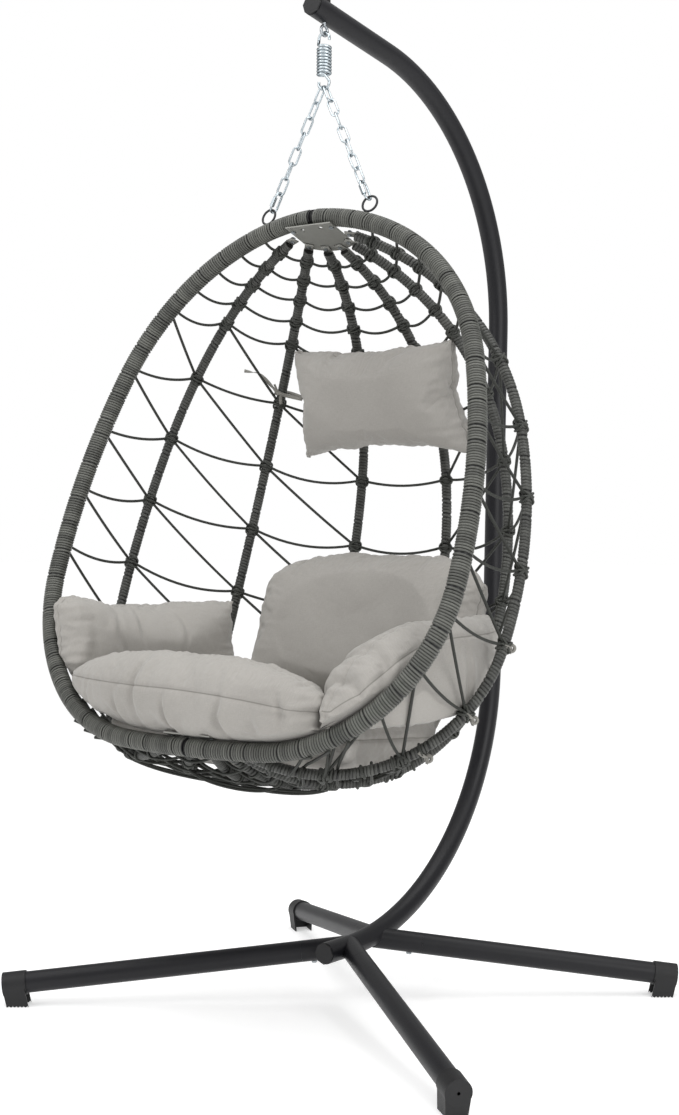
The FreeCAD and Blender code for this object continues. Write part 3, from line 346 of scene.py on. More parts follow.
def ring_points(middle, normal, radius, count):
    """Points round a circle."""
    side = normal.orthogonal().normalized()
    other = normal.cross(side)
    steps = [2 * math.pi * (k / count) for k in range(count)]
    return [middle + (side * math.cos(a) + other * math.sin(a)) * radius for a in steps]


class BentLine:
    """Middle line of a bent tube: tangent arcs in one plane, read by length."""

    def __init__(self, start, heading, arcs, across, down):
        self.across = across
        self.down = down
        self.normal = across.cross(down).normalized()
        self.parts = []
        self.end = Vector(start)
        self.heading = heading
        for radius, turn in arcs:
            self.add(radius, turn)

    def out(self, heading):
        angle = math.radians(heading)
        return self.across * math.sin(angle) - self.down * math.cos(angle)

    def add(self, radius, turn):
        centre = self.end - self.out(self.heading) * radius
        self.parts.append((centre, radius, self.heading, math.radians(turn) * radius))
        self.heading += turn
        self.end = centre + self.out(self.heading) * radius

    def length(self):
        return sum(part[3] for part in self.parts)

    def at(self, length):
        """Point and heading at a length from the start."""
        for centre, radius, heading, long in self.parts:
            if length <= long or (centre, radius) == self.parts[-1][:2]:
                break
            length -= long
        turned = heading + math.degrees(length / radius)
        angle = math.radians(turned)
        way = self.across * math.cos(angle) + self.down * math.sin(angle)
        return centre + self.out(turned) * radius, way


# The basket's lines, in its own frame: X across, Y to the back, Z up its axis

HOOP_R, RIB_R = 17.5, 10.0
FOLD = math.radians(3.27)  # each half of the hoop is folded back
DOWN = -Z

# Radius and turn of each bend. The last bend of hoop and rib turns as far as it takes to arrive
TOP_BEND_R = 438.0
HOOP_BENDS = [(TOP_BEND_R, 72.7), (1206.5, 19.6), (335.2, 83.3)]
RIB_BENDS = [(511.0, 60.6), (928.5, 25.8)]
RIB_LAST_R = 313.6

# A rib's first bolt on the top plate: from the axis, below the hoop's top point, and its slope
RIB_OUT, RIB_LOW, RIB_SLOPE = 75.8, 25.19, 10.3
RIB_STEP = 26.0  # degrees from rib to rib, seen from above


def hoop_line():
    outward = Vector((math.cos(FOLD), math.sin(FOLD), 0))
    line = BentLine((0, 0, 0), 0.0, HOOP_BENDS, outward, DOWN)
    across = line.end.dot(outward)
    line.add(across / math.sin(math.radians(line.heading)), 180 - line.heading)
    return line


def rib_line(angle):
    outward = Vector((math.sin(math.radians(angle)), math.cos(math.radians(angle)), 0))
    start = outward * RIB_OUT + Z * -RIB_LOW
    line = BentLine(start, RIB_SLOPE, RIB_BENDS, outward, DOWN)
    inward = line.end.dot(outward) - RIB_OUT
    arrival = math.asin(math.sin(math.radians(line.heading)) - inward / RIB_LAST_R)
    line.add(RIB_LAST_R, 180 - math.degrees(arrival) - line.heading)
    return line


HOOP = hoop_line()
RIBS = [rib_line(RIB_STEP * (k - 2.5)) for k in range(6)]


def mirrored(mesh):
    """The same mesh on the other side of the chair."""
    shape = bmesh.new()
    shape.from_mesh(mesh)
    bmesh.ops.scale(shape, vec=(-1, 1, 1), verts=shape.verts)
    bmesh.ops.reverse_faces(shape, faces=shape.faces)
    other = mesh.copy()
    shape.to_mesh(other)
    shape.free()
    return other


SEAM_STEP = 1.6  # a turn beside a gap in the winding, in ordinary turns
CORE_STEP = 14.0


def turn_marks(luck, start, end, pitch, seam_every):
    """Lengths at which the turns of a winding begin, with a wide turn at each seam."""
    marks = [start]
    next_seam = luck.randint(3, seam_every)
    while marks[-1] < end:
        step = pitch * luck.uniform(0.95, 1.05)
        next_seam -= 1
        if not next_seam:
            step *= SEAM_STEP
            next_seam = luck.randint(seam_every // 2, seam_every + 3)
        marks.append(marks[-1] + step)
    marks[-1] = end
    return marks


def wound(line, start, end, radius, pitch, seed, seam_every, flat=0.85, bare=0.0):
    """Cord wound round a tube, pressed flat, over a core coloured like the painted shade deep in
    the grooves, which can stick out bare.
    """
    luck = random.Random(seed)
    marks = turn_marks(luck, start, end, pitch, seam_every)
    steps, sides = 14, 8
    cord = pitch * (1.13 - 0.165 * flat)
    middle_r = radius - cord * flat / 2
    points, middles, turns = [], [], []
    for k in range((len(marks) - 1) * steps + 1):
        whole, part = divmod(k, steps)
        low = marks[whole]
        high = marks[min(whole + 1, len(marks) - 1)]
        middle, way = line.at(low + (high - low) * part / steps)
        side = way.cross(line.normal)
        angle = 2 * math.pi * part / steps
        points.append(middle + (side * math.cos(angle) + line.normal * math.sin(angle)) * middle_r)
        middles.append(middle)
        turns.append(whole + part / steps)
    mesh = wire_mesh([points], cord, sides)
    shades = [luck.random() for _ in range(len(marks) + 2)]
    caps = len(mesh.vertices) - len(points) * sides
    # lift, the height across the cord, is what the finish paints the groove shade from
    lift = mesh.attributes.new("lift", "FLOAT", "POINT")
    turn = mesh.attributes.new("turn", "FLOAT", "POINT")
    for k, vertex in enumerate(mesh.vertices):
        if k < caps:
            continue  # the vertices of the end caps come before the rings
        ring = (k - caps) // sides
        spoke = points[ring] - middles[ring]
        out = spoke.normalized()
        high = (vertex.co - points[ring]).dot(out)
        vertex.co -= out * high * (1 - flat)
        lift.data[k].value = 0.5 + high / cord
        whole, part = divmod(turns[ring], 1.0)
        low, top = shades[int(whole)], shades[int(whole) + 1]
        turn.data[k].value = low + (top - low) * part
    start, end = start - bare, end + bare
    count = int((end - start) / CORE_STEP)
    core_points = [line.at(start + (end - start) * k / count)[0] for k in range(count + 1)]
    core = wire_mesh([core_points], 2 * (radius - cord * flat * 0.62), 20)
    for name in ("lift", "turn"):
        core.attributes.new(name, "FLOAT", "POINT")  # 0 all over, so the core takes the darkest colour of the painted groove shade
    return merged([mesh, core])


HOOP_END, BARE = 5.2, 3.0
HOOP_PITCH, RIB_PITCH = 5.0, 6.2
hoop_stretch = HOOP_END, HOOP.length() - HOOP_END
right_hoop, left_hoop = [
    wound(HOOP, *hoop_stretch, HOOP_R, HOOP_PITCH, seed, 11, bare=BARE) for seed in (3, 8)
]
for name, mesh in (("right", right_hoop), ("left", mirrored(left_hoop))):
    mesh.transform(BASKET)
    add_piece(f"hoop_{name}_winding", mesh, CORD, "basket", [f"hoop_{name}"])


TAB = 27, 18, 2.5  # outward, across and thick
TAB_SHIFT = 4.5
RIB_TRIM = 12.6


def rib_tabs(line):
    """Flattened ends of a rib, pressed on the plates."""
    outward = Matrix((line.across, Z.cross(line.across), Z)).transposed().to_4x4()
    shape = bmesh.new()
    for length in (0, line.length()):
        place = Matrix.Translation(line.at(length)[0]) @ outward @ Matrix.Diagonal((*TAB, 1))
        made = bmesh.ops.create_cube(shape, size=1.0, matrix=place)
        bmesh.ops.translate(shape, vec=line.across * TAB_SHIFT, verts=made["verts"])
    bmesh.ops.bevel(
        shape, geom=shape.edges[:], offset=0.5, segments=1, profile=0.5, affect="EDGES", material=-1
    )
    mesh = bpy.data.meshes.new("tabs")
    shape.to_mesh(mesh)
    shape.free()
    return mesh


for number, line in enumerate(RIBS, start=1):
    stretch = RIB_TRIM, line.length() - RIB_TRIM
    mesh = wound(line, *stretch, RIB_R, RIB_PITCH, 20 + number, 9, flat=0.42)
    mesh.transform(BASKET)
    add_piece(f"rib_{number}_winding", mesh, RIB_CORD, "basket", [f"rib_{number}"])
    tabs = rib_tabs(line)
    tabs.transform(BASKET)
    add_piece(f"rib_{number}_ends", tabs, PLATE, "basket")


# The net

ROPE_THICK, KNOT_THICK = 5.6, 4.6
FIRST_RUNG, CLOSE_STEP, WIDE_STEP = 50.0, 54.5, 137.0
CLOSE_RUNGS, WIDE_RUNGS = 5, 8
MIDDLE_BAY = 3
LASHINGS = range(1190, 1490, 54)  # lengths of the single turns low on the ribs
STATIONS = [FIRST_RUNG + CLOSE_STEP * k for k in range(CLOSE_RUNGS)]
STATIONS += [STATIONS[-1] + WIDE_STEP * (k + 1) for k in range(WIDE_RUNGS)]


def rim_station(length):
    """Length along the hoop that faces a length along its neighbour rib."""
    return 80.0 + 1.2 * length - 0.00022 * length**2


def row_marks(row, length):
    """Point, heading and tube radius where a rope crosses a hoop half or a rib."""
    if 1 <= row <= 6:
        return (*RIBS[row - 1].at(length), RIB_R)
    point, way = HOOP.at(rim_station(length))
    if row == 0:
        point, way = Vector((-point.x, point.y, point.z)), Vector((-way.x, way.y, way.z))
    return point, way, HOOP_R


def hung(start, end, sag):
    """Points of a rope between two tubes that hangs by a share of its span."""
    count = 12
    (a, _, first_r), (b, _, last_r) = start, end
    run = (b - a).normalized()
    low, high = a + run * first_r * 0.9, b - run * last_r * 0.9
    span = (high - low).length
    points = []
    for k in range(count + 1):
        t = k / count
        points.append(low.lerp(high, t) + FALL * (4 * t * (1 - t) * sag * span))
    return points


luck = random.Random(11)
for bay in range(7):
    lines = []
    for k, length in enumerate(STATIONS):
        sag = luck.uniform(0.10, 0.16) if k < CLOSE_RUNGS else luck.uniform(0.045, 0.085)
        lines.append(hung(row_marks(bay, length), row_marks(bay + 1, length), sag))
    for near, far in zip(STATIONS[CLOSE_RUNGS - 1:], STATIONS[CLOSE_RUNGS:]):
        if bay < MIDDLE_BAY:
            ends = row_marks(bay, near), row_marks(bay + 1, far)
        elif bay > MIDDLE_BAY:
            ends = row_marks(bay, far), row_marks(bay + 1, near)
        else:
            continue
        lines.append(hung(*ends, luck.uniform(0.004, 0.02)))
    mesh = wire_mesh(lines, ROPE_THICK, 8)
    mesh.transform(BASKET)
    add_piece(f"net_ropes_{bay + 1}", mesh, ROPE, "basket", [f"net_bay_{bay + 1}"])


def knot(mark, seed, slant):
    """A closed turn of rope that lies slanting round a tube."""
    count = 20
    point, way, radius = mark
    luck = random.Random(seed)
    side = way.orthogonal().normalized()
    other = way.cross(side)
    start = luck.uniform(0, 2 * math.pi)
    points = []
    for k in range(count):
        angle = 2 * math.pi * k / count
        spoke = side * math.cos(angle) + other * math.sin(angle)
        along = way * (slant * radius * math.sin(angle + start))
        points.append(point + spoke * (radius + 1.3 + 0.6 * math.cos(2 * angle)) + along)
    return points


lines = [
    knot(row_marks(row, length), 10 * row, slant)
    for row in range(1, 7)
    for length in STATIONS
    for slant in (-1.0, 0.1, 1.0)
]
lines += [
    knot(row_marks(row, length), 10 * row + k, 0.2)
    for row in range(1, 7)
    for k, length in enumerate(LASHINGS)
]
mesh = wire_mesh(lines, KNOT_THICK, 6, closed=True)
mesh.transform(BASKET)
add_piece("net_knots", mesh, KNOT, "basket")


def rounded_line(points):
    """A smooth line through the hull of a few points."""
    curve = bpy.data.curves.new("soft", "CURVE")
    curve.dimensions = "3D"
    spline = curve.splines.new("NURBS")
    spline.points.add(len(points) - 1)
    for mark, point in zip(spline.points, points):
        mark.co = (*point, 1)
    spline.order_u = 3
    spline.use_endpoint_u = True
    spline.resolution_u = 6
    holder = bpy.data.objects.new("soft", curve)
    mesh = bpy.data.meshes.new_from_object(holder)
    line = [v.co.copy() for v in mesh.vertices]
    bpy.data.objects.remove(holder)
    bpy.data.curves.remove(curve)
    bpy.data.meshes.remove(mesh)
    return line


EGG_MIDDLE = Vector((0, 0, -560.0))
WEAVE = range(1215, 1500, 31)
REACHES_HOOP = 1330

# Length along the ribs, first and last rib, and drop of a slack loop
SLACK_LOOPS = [(1340, 1, 3, 20), (1395, 3, 5, 16), (1250, 4, 6, 14), (1440, 2, 4, 22)]


def woven_line(length, phase):
    """A rope over and under the ribs, low in the basket from one side of the hoop to the other."""
    points = []
    rows = range(8) if length > REACHES_HOOP else range(1, 7)
    for row in rows:
        point, way, radius = row_marks(row, length)
        outward = (point - EGG_MIDDLE).normalized()
        hand = 1 if (row + phase) % 2 else -1
        points.append(point + outward * (hand * (radius + 3.0)))
        if row != rows[-1]:
            after = row_marks(row + 1, length)[0]
            points.append(point.lerp(after, 0.5) + FALL * 6)
    return rounded_line(points)


weave = [woven_line(length, k) for k, length in enumerate(WEAVE)]
for length, first, last, drop in SLACK_LOOPS:
    a, b = row_marks(first, length)[0], row_marks(last, length - 40)[0]
    low = (a + b) / 2 + FALL * 14
    for shift in (0, 5):
        sunk = FALL * (drop + shift) * 0.9
        hooks = a.lerp(low, 0.35) + sunk, b.lerp(low, 0.35) + sunk
        weave.append(rounded_line([a + FALL * 12, *hooks, b + FALL * 12]))
mesh = wire_mesh(weave, ROPE_THICK, 8)
mesh.transform(BASKET)
add_piece("net_weave", mesh, ROPE, "basket")


# Spring, hooks, chains and rings, in the chair's frame

SPRING_Y, COIL_TOP, COIL_R, COIL_FALL, TURNS = -131.9, 1871.5, 12.0, 6.0, 9
COIL_LOW = COIL_TOP - COIL_FALL * TURNS
COIL_STEPS = 32
WIRE = 5.5
HOOK_R = 12.5
HOOK = Vector((0, SPRING_Y, COIL_LOW - 15.0))  # middle of the lower hook


def coil_point(turn):
    angle = 2 * math.pi * turn - math.pi / 2
    flat = Vector((math.cos(angle), math.sin(angle), 0)) * COIL_R
    return Vector((0, SPRING_Y, COIL_TOP - COIL_FALL * turn)) + flat


coil_points = [coil_point(k / COIL_STEPS) for k in range(COIL_STEPS * TURNS + 1)]
coil = wire_mesh([coil_points], WIRE, 14)
coil.transform(MM)
coil_piece = add_piece("spring_coil_wire", coil, STEEL, None, ["spring_coil"])
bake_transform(coil_piece)


def hook_points():
    """From the coil's lower end in a smooth bend round the hook that holds the chains."""
    start, side = coil_point(TURNS), HOOK + X * HOOK_R
    points = []
    for k in range(12):
        t = k / 12
        a, b = 2 * t**3 - 3 * t**2 + 1, t**3 - 2 * t**2 + t
        c, d = -2 * t**3 + 3 * t**2, t**3 - t**2
        points.append(start * a + X * (24 * b) + side * c - Z * (20 * d))
    for k in range(40):
        angle = math.radians(195 * k / 39)
        points.append(HOOK + X * HOOK_R * math.cos(angle) - Z * HOOK_R * math.sin(angle))
    return points


low_hook = wire_mesh([hook_points()], WIRE, 14)
coil_middle = Vector((0, SPRING_Y, (COIL_TOP + COIL_LOW) / 2))
half_turn = Matrix.Rotation(math.pi, 4, "Y")
turn_over = Matrix.Translation(coil_middle) @ half_turn @ Matrix.Translation(-coil_middle)
top_hook = low_hook.copy()
top_hook.transform(MM @ turn_over)
low_hook.transform(MM)
for place, mesh, body, node in (
    ("low", low_hook, "spring_lower", "spring_hook_bottom"),
    ("top", top_hook, "spring_upper", "spring_hook_top"),
):
    add_piece(f"spring_hook_{place}_wire", mesh, STEEL, body, [node])

EYE_Z, EYE_R, NUT_TOP = 1902.45, 9.5, 1970.17
EYE_WIRE, SHANK = 6.0, 8.0
eye_middle = Vector((0, SPRING_Y, EYE_Z))
eye = wire_mesh([ring_points(eye_middle, X, EYE_R, 40)], EYE_WIRE, 14, closed=True)
shank = wire_mesh([[eye_middle + Z * (EYE_R - 1), Vector((0, SPRING_Y, NUT_TOP))]], SHANK, 20)
mesh = merged([eye, shank])
mesh.transform(MM)
add_piece("eye_bolt_wire", mesh, ZINC, "eye_bolt", ["eye_bolt"])


def link_points(middle, along, normal, half_long, half_wide):
    """Closed line of a link: two straights and two half rings."""
    side = normal.cross(along).normalized()
    straight = half_long - half_wide
    points = []
    for hand in (1, -1):
        centre = middle + along * (straight * hand)
        for k in range(13):
            angle = math.pi * k / 12
            spoke = side * math.cos(angle) * hand + along * math.sin(angle) * hand
            points.append(centre + spoke * half_wide)
    return points


LINKS, LINK_WIRE, LINK_WIDE, PLAY = 7, 4.0, 7.5, 0.3
QUICK_WIRE, QUICK_LONG, QUICK_WIDE = 4.5, 20.5, 9.0
RING_R, RING_WIRE, RING_X, RING_GAP = 15.75, 4.5, 113.0, 0.3
HANG_X = 4.5  # the chains hang this far to the sides in the spring's hook

# From wire middle to wire middle where the chain lies in the hook, the quick link in the chain and
# the ring in the quick link
TOP_HOLD = (WIRE + LINK_WIRE) / 2 + PLAY
MID_HOLD = (LINK_WIRE + QUICK_WIRE) / 2 + PLAY
END_HOLD = (QUICK_WIRE + RING_WIRE) / 2 + PLAY

ring_arc = math.asin(RING_X / TOP_BEND_R) * TOP_BEND_R
ring_mark, ring_way = HOOP.at(ring_arc)
ring_flat = Vector((-math.sin(FOLD), math.cos(FOLD), 0))
ring_out = ring_way.cross(ring_flat).normalized()
if ring_out.z < 0:
    ring_out = -ring_out
ring_middle = ring_mark + ring_out * (HOOP_R + RING_GAP + RING_R + RING_WIRE / 2)
turned_back = Matrix.Rotation(-TILT, 3, "X")
ring_place = TOP + turned_back @ ring_middle
ring_normal = turned_back @ ring_flat
hang = HOOK + X * HANG_X - Z * math.sqrt(HOOK_R**2 - HANG_X**2)
toward = hang - ring_place
toward = (toward - ring_normal * toward.dot(ring_normal)).normalized()
catch = ring_place + toward * RING_R
drop = (catch - hang).normalized()
span = (catch - hang).length + TOP_HOLD + MID_HOLD + END_HOLD - 2 * QUICK_LONG
bore = (span - LINK_WIRE + PLAY * (LINKS - 1)) / LINKS
half_link = (bore + LINK_WIRE) / 2
flat_way = drop.cross(Y).normalized()
chain_lines = []
for k in range(LINKS):
    twist = math.radians((90 + 90 / LINKS) * k)
    normal = flat_way * math.cos(twist) + Y * math.sin(twist)
    normal = (normal - drop * normal.dot(drop)).normalized()
    middle = hang + drop * (half_link - TOP_HOLD + (bore - PLAY) * k)
    chain_lines.append(link_points(middle, drop, normal, half_link, LINK_WIDE))
right_chain = wire_mesh(chain_lines, LINK_WIRE, 12, closed=True)
left_chain = mirrored(right_chain)
quick_middle = catch + drop * (END_HOLD - QUICK_LONG)
quick_line = link_points(quick_middle, drop, flat_way, QUICK_LONG, QUICK_WIDE)
quick = wire_mesh([quick_line], QUICK_WIRE, 14, closed=True)
quick = merged([quick, mirrored(quick)])
rings = wire_mesh([ring_points(ring_place, ring_normal, RING_R, 48)], RING_WIRE, 14, closed=True)
rings = merged([rings, mirrored(rings)])
for name, mesh, finish, body, slot, node in (
    ("chain_right_links", right_chain, STEEL, "chains", "bright_steel", "chain_right"),
    ("chain_left_links", left_chain, STEEL, "chains", "bright_steel", "chain_left"),
    ("quick_link_wires", quick, STEEL, "chains", "bright_steel", "quick_links"),
    ("rim_ring_wires", rings, RING_PAINT, "basket", "ring_paint", "rim_rings"),
):
    mesh.transform(MM)
    add_piece(name, mesh, finish, body, [node])


# Cushions: stuffed by a cloth simulation, pressed into the basket and against each other

class Cushion(NamedTuple):
    """Millimetres and degrees, in the cushion's own frame: x along it, y from its foot to its
    head, z through it. Pairs are for its left and its right end."""

    middle: tuple
    half: tuple
    lean: float
    yaw: float = 0
    bow: float = 0  # of both ends out of the cushion's plane
    foot: tuple = (0, 0)  # droop of the ends at the foot
    head: tuple = (0, 0)  # and at the head
    narrow: float = 0  # share by which the head is narrower
    ends: tuple = (0, 0)  # rounding
    swell: float = 22
    slack: float = 1.0  # of the cover
    seam: tuple = ()  # stitched line along the front: height and the fall of its ends
    creases: tuple = ()  # each one's place along the cushion, height, reach and depth


CUSHIONS = {
    "cushion_roll": Cushion(
        (-48, -478, 646), (326, 80, 60), 90, -5, bow=-26, foot=(-84, 0), head=(52, 36),
        ends=(0.2, 0.42), seam=(18.0, -4.0, 30.0),
        creases=(
            (-210, -20, 40, 4), (-120, -34, 36, 8), (-66, 8, 62, 8), (22, -36, 34, 8),
            (150, -22, 46, 9), (214, -40, 26, 5), (268, -10, 34, 7),
        ),
    ),
    "cushion_arm_right": Cushion(
        (362, -300, 700), (216, 96, 58), 90, 84, bow=-50, foot=(6, 0), head=(128, 6),
        ends=(0.3, 0), seam=(60.0, 122.0, -4.0),
        creases=((-184, 0, 50, 9), (-150, 16, 30, 8), (-96, -26, 34, 5), (40, -20, 60, 6)),
    ),
    "cushion_arm_left": Cushion(
        (-369, -251, 706), (208, 94, 58), 90, -104, bow=-30, foot=(-10, -34), head=(6, -28),
        ends=(0, 0.34),
        creases=((30, 40, 36, 4), (84, 20, 60, 5), (150, -10, 60, 6), (-60, 30, 40, 3)),
    ),
    "cushion_back": Cushion(
        (36, 4, 746), (284, 180, 56), 74, bow=50, head=(74, 70), narrow=0.06,
        ends=(0.12, 0.12), slack=0.7,
        creases=((-170, 130, 40, 4), (120, 140, 44, 4), (190, 90, 60, 5)),
    ),
    "cushion_seat": Cushion((0, -215, 548), (290, 215, 54), -4, bow=22, swell=18, slack=0.6),
    "pillow_head": Cushion(
        (6, 48.6, 1207), (210, 119, 42), 105, foot=(4, 4), head=(4, 4), narrow=0.05, slack=0.9
    ),
}
VOXEL = 0.0055
SAMPLES = 110  # of the middle lines that the cushions are kept within
STUFFING_STEPS = 20
GAP = 0.0006  # between two cushions
BEND = 2.2  # power by which a cushion's ends and its stitched line fall

# A cushion stays this far from the middle line of a rib, farther off between the ribs, where the
# ropes run, and farther off at the hoop. Seen from above, the basket's side is its ribs up to
# LAST_RIB degrees from the back, and it becomes the hoop over the next TO_HOOP degrees
RIB_ROOM, ROPE_ROOM, HOOP_ROOM = 11.5, 6.5, 6.9
LAST_RIB, TO_HOOP = 65.0, 22.0
BASKET_BACK = BASKET.inverted()


def side_profile(line, flat):
    """Points of a bent line as distance from the basket's axis and height."""
    long = line.length()
    points = [line.at(long * k / (SAMPLES - 1))[0] for k in range(SAMPLES)]
    return np.array([(p.x if flat else math.hypot(p.x, p.y), p.z) for p in points])


RIB_PROFILE = side_profile(RIBS[2], False)
HOOP_PROFILE = side_profile(HOOP, True)


def kept_inside(points):
    """Points in metres, each moved in until it clears the ribs, ropes and hoop it lies against."""
    local = np.array([BASKET_BACK @ Vector(p) for p in points])
    angle = np.degrees(np.arctan2(np.abs(local[:, 0]), local[:, 1]))
    behind = local[:, 1] > 0
    out = np.where(behind, np.hypot(local[:, 0], local[:, 1]), np.abs(local[:, 0]))
    weight = np.clip((angle - LAST_RIB) / TO_HOOP, 0, 1)
    between = np.cos(np.radians(angle * 180 / RIB_STEP)) ** 2
    room = RIB_ROOM + np.where(angle < LAST_RIB, ROPE_ROOM * between, HOOP_ROOM * weight)
    mix = weight[:, None, None]
    line = RIB_PROFILE[None] * (1 - mix) + HOOP_PROFILE[None] * mix
    flat = np.stack([out, local[:, 2]], 1)
    near = np.argmin(((line - flat[:, None]) ** 2).sum(2), 1)
    rows = np.arange(len(flat))
    low, high = np.clip(near - 1, 0, SAMPLES - 1), np.clip(near + 1, 0, SAMPLES - 1)
    way = line[rows, high] - line[rows, low]
    way /= np.linalg.norm(way, axis=1)[:, None]
    inward = np.stack([way[:, 1], -way[:, 0]], 1)
    depth = ((flat - line[rows, near]) * inward).sum(1)
    push = np.clip(room - depth, 0, None)
    moved = flat + inward * push[:, None]
    share = moved[:, 0] / np.maximum(out, 1e-6)
    local[:, 0] *= share
    local[:, 1] *= np.where(behind, share, 1.0)
    local[:, 2] = moved[:, 1]
    return [BASKET @ Vector(p) for p in local]


def kept_apart(points, others):
    """Points in metres, moved out of the cushions that already lie there."""
    moved = []
    for point in points:
        point = Vector(point)
        for tree in others:
            spot, normal, _, _ = tree.find_nearest(point, 0.05)
            if spot is not None and (point - spot).dot(normal) < GAP:
                point = spot + normal * GAP
        moved.append(point)
    return moved


def cushion_frame(cushion):
    """The cushion's own axes and middle, in the chair's frame, in metres."""
    lean = Matrix.Rotation(math.radians(cushion.lean), 4, "X")
    turn = Matrix.Rotation(math.radians(cushion.yaw), 4, "Z") @ lean
    return Matrix.Translation(Vector(cushion.middle) * 0.001) @ turn


def evened(piece):
    """Applies every modifier of a piece to its mesh."""
    shown = piece.evaluated_get(bpy.context.evaluated_depsgraph_get())
    mesh = bpy.data.meshes.new_from_object(shown)
    piece.modifiers.clear()
    piece.data = mesh
    return mesh


def cushion_start(name, place, cushion):
    """A sewn bag, crowned and drawn in at its sides, bent to lie in the basket."""
    half, foot, head, ends = cushion.half, cushion.foot, cushion.head, cushion.ends
    shape = bmesh.new()
    bmesh.ops.create_cube(shape, size=2.0)
    bmesh.ops.subdivide_edges(shape, edges=shape.edges[:], cuts=15, use_grid_fill=True)
    for vertex in shape.verts:
        x, y, z = vertex.co
        crown = 0.22 + 0.78 * math.sqrt(max(0.0, (1 - x**6) * (1 - y**4)))
        rise = (y + 1) / 2
        left, right = [foot[k] * (1 - rise) + head[k] * rise for k in (0, 1)]
        droop = left * max(0.0, -x) ** BEND + right * max(0.0, x) ** BEND
        round_off = 1 - ends[0] * max(0.0, -x) ** 7 - ends[1] * max(0.0, x) ** 7
        vertex.co = Vector((
            x * half[0] * (1 - 0.03 * (1 - y * y)) * (1 - cushion.narrow * rise),
            y * half[1] * (1 - 0.05 * (1 - x * x)) * round_off - droop,
            z * half[2] * crown + cushion.bow * x * x,
        ))
    bmesh.ops.transform(shape, matrix=place @ MM, verts=shape.verts)
    mesh = bpy.data.meshes.new(name + "_cloth")
    shape.to_mesh(mesh)
    shape.free()
    piece = bpy.data.objects.new(name + "_cloth", mesh)
    SCENE.collection.objects.link(piece)
    even = piece.modifiers.new("even", "REMESH")
    even.mode = "VOXEL"
    even.voxel_size = VOXEL * 1
    evened(piece)
    if not name.startswith("pillow"):
        points = kept_inside([v.co for v in piece.data.vertices])
        for vertex, point in zip(piece.data.vertices, points):
            vertex.co = point
    return piece


def blow_up(pieces, swells):
    """Stuffs all cushions at once, and keeps each point within its cushion's swell."""
    rest = {piece: [v.co.copy() for v in piece.data.vertices] for piece in pieces}
    for piece in pieces:
        cloth = piece.modifiers.new("stuffing", "CLOTH")
        cloth.settings.quality = 5
        cloth.settings.mass = 0.3
        cloth.settings.use_pressure = True
        cloth.settings.uniform_pressure_force = 4.0
        cloth.settings.effector_weights.gravity = 0.0
        cloth.settings.bending_stiffness = 0.3
        cloth.point_cache.frame_end = STUFFING_STEPS
    for step in range(1, STUFFING_STEPS + 1):
        SCENE.frame_set(step)
    for piece, swell in zip(pieces, swells):
        mesh = evened(piece)
        most = swell * 0.001
        for vertex, start in zip(mesh.vertices, rest[piece]):
            move = vertex.co - start
            if move.length > most:
                vertex.co = start + move * (most / move.length)
    SCENE.frame_set(1)


def bell(away, wide):
    return math.exp(-(away / wide) ** 2)


def crease(own, facing, name, cushion):
    """How far a point of a cushion moves out, and how far it is from a stitched line, in mm."""
    slack = cushion.slack
    x = own.x / cushion.half[0]
    off_edge = own.z - cushion.bow * x * x
    rim = 1 - abs(facing.z)
    edge = bell(off_edge, 4.0) * rim
    seed = Vector((len(name) * 31.0, cushion.half[0], 0))
    pucker = noise.noise(Vector((own.x, own.y, off_edge * 0.1)) * 0.085 + seed)
    pucker *= 3.8 * slack * slack * min(1.0, rim * 1.3) * bell(abs(off_edge) - 10, 16.0)
    fold = noise.ridged_multi_fractal(own * 0.0072 + seed, 0.9, 2.1, 3, 1.0, 2.0)
    soft = noise.noise(own * 0.011 + seed)
    end = max(0.0, abs(x) - 0.55)
    gather = noise.noise(Vector((own.x * 0.012, own.y * 0.075, own.z * 0.03)) + seed) * 11.0 * end
    move = pucker + slack * (-(fold - 1.0) * 3.0 + soft * 4.0 + gather) - 3.2 * edge
    line = off_edge if rim > 0.5 else 50.0
    if cushion.seam:
        height, left, right = cushion.seam
        across = own.y - height + left * max(0.0, -x) ** BEND + right * max(0.0, x) ** BEND
        move -= 2.4 * bell(across, 3.4) * min(1.0, 1.5 * abs(facing.z))
        pull = noise.noise(Vector((own.x * 0.05, own.y * 0.012, 4.0)) + seed)
        move += pull * 4.0 * bell(across, 30.0) * abs(facing.z)
        line = across if facing.z > -0.3 else line
    for k, (at, level, reach, depth) in enumerate(cushion.creases):
        wander = noise.noise(Vector((own.y * 0.014, k * 7.0, 3.0))) * 24.0
        off = own.x - at - wander
        wide = 6.0 + k % 3 * 2
        raised = bell(off - wide * 2, wide * 1.6)
        move += (raised * 0.55 - bell(off, wide)) * depth * bell(own.y - level, reach)
    return move, line


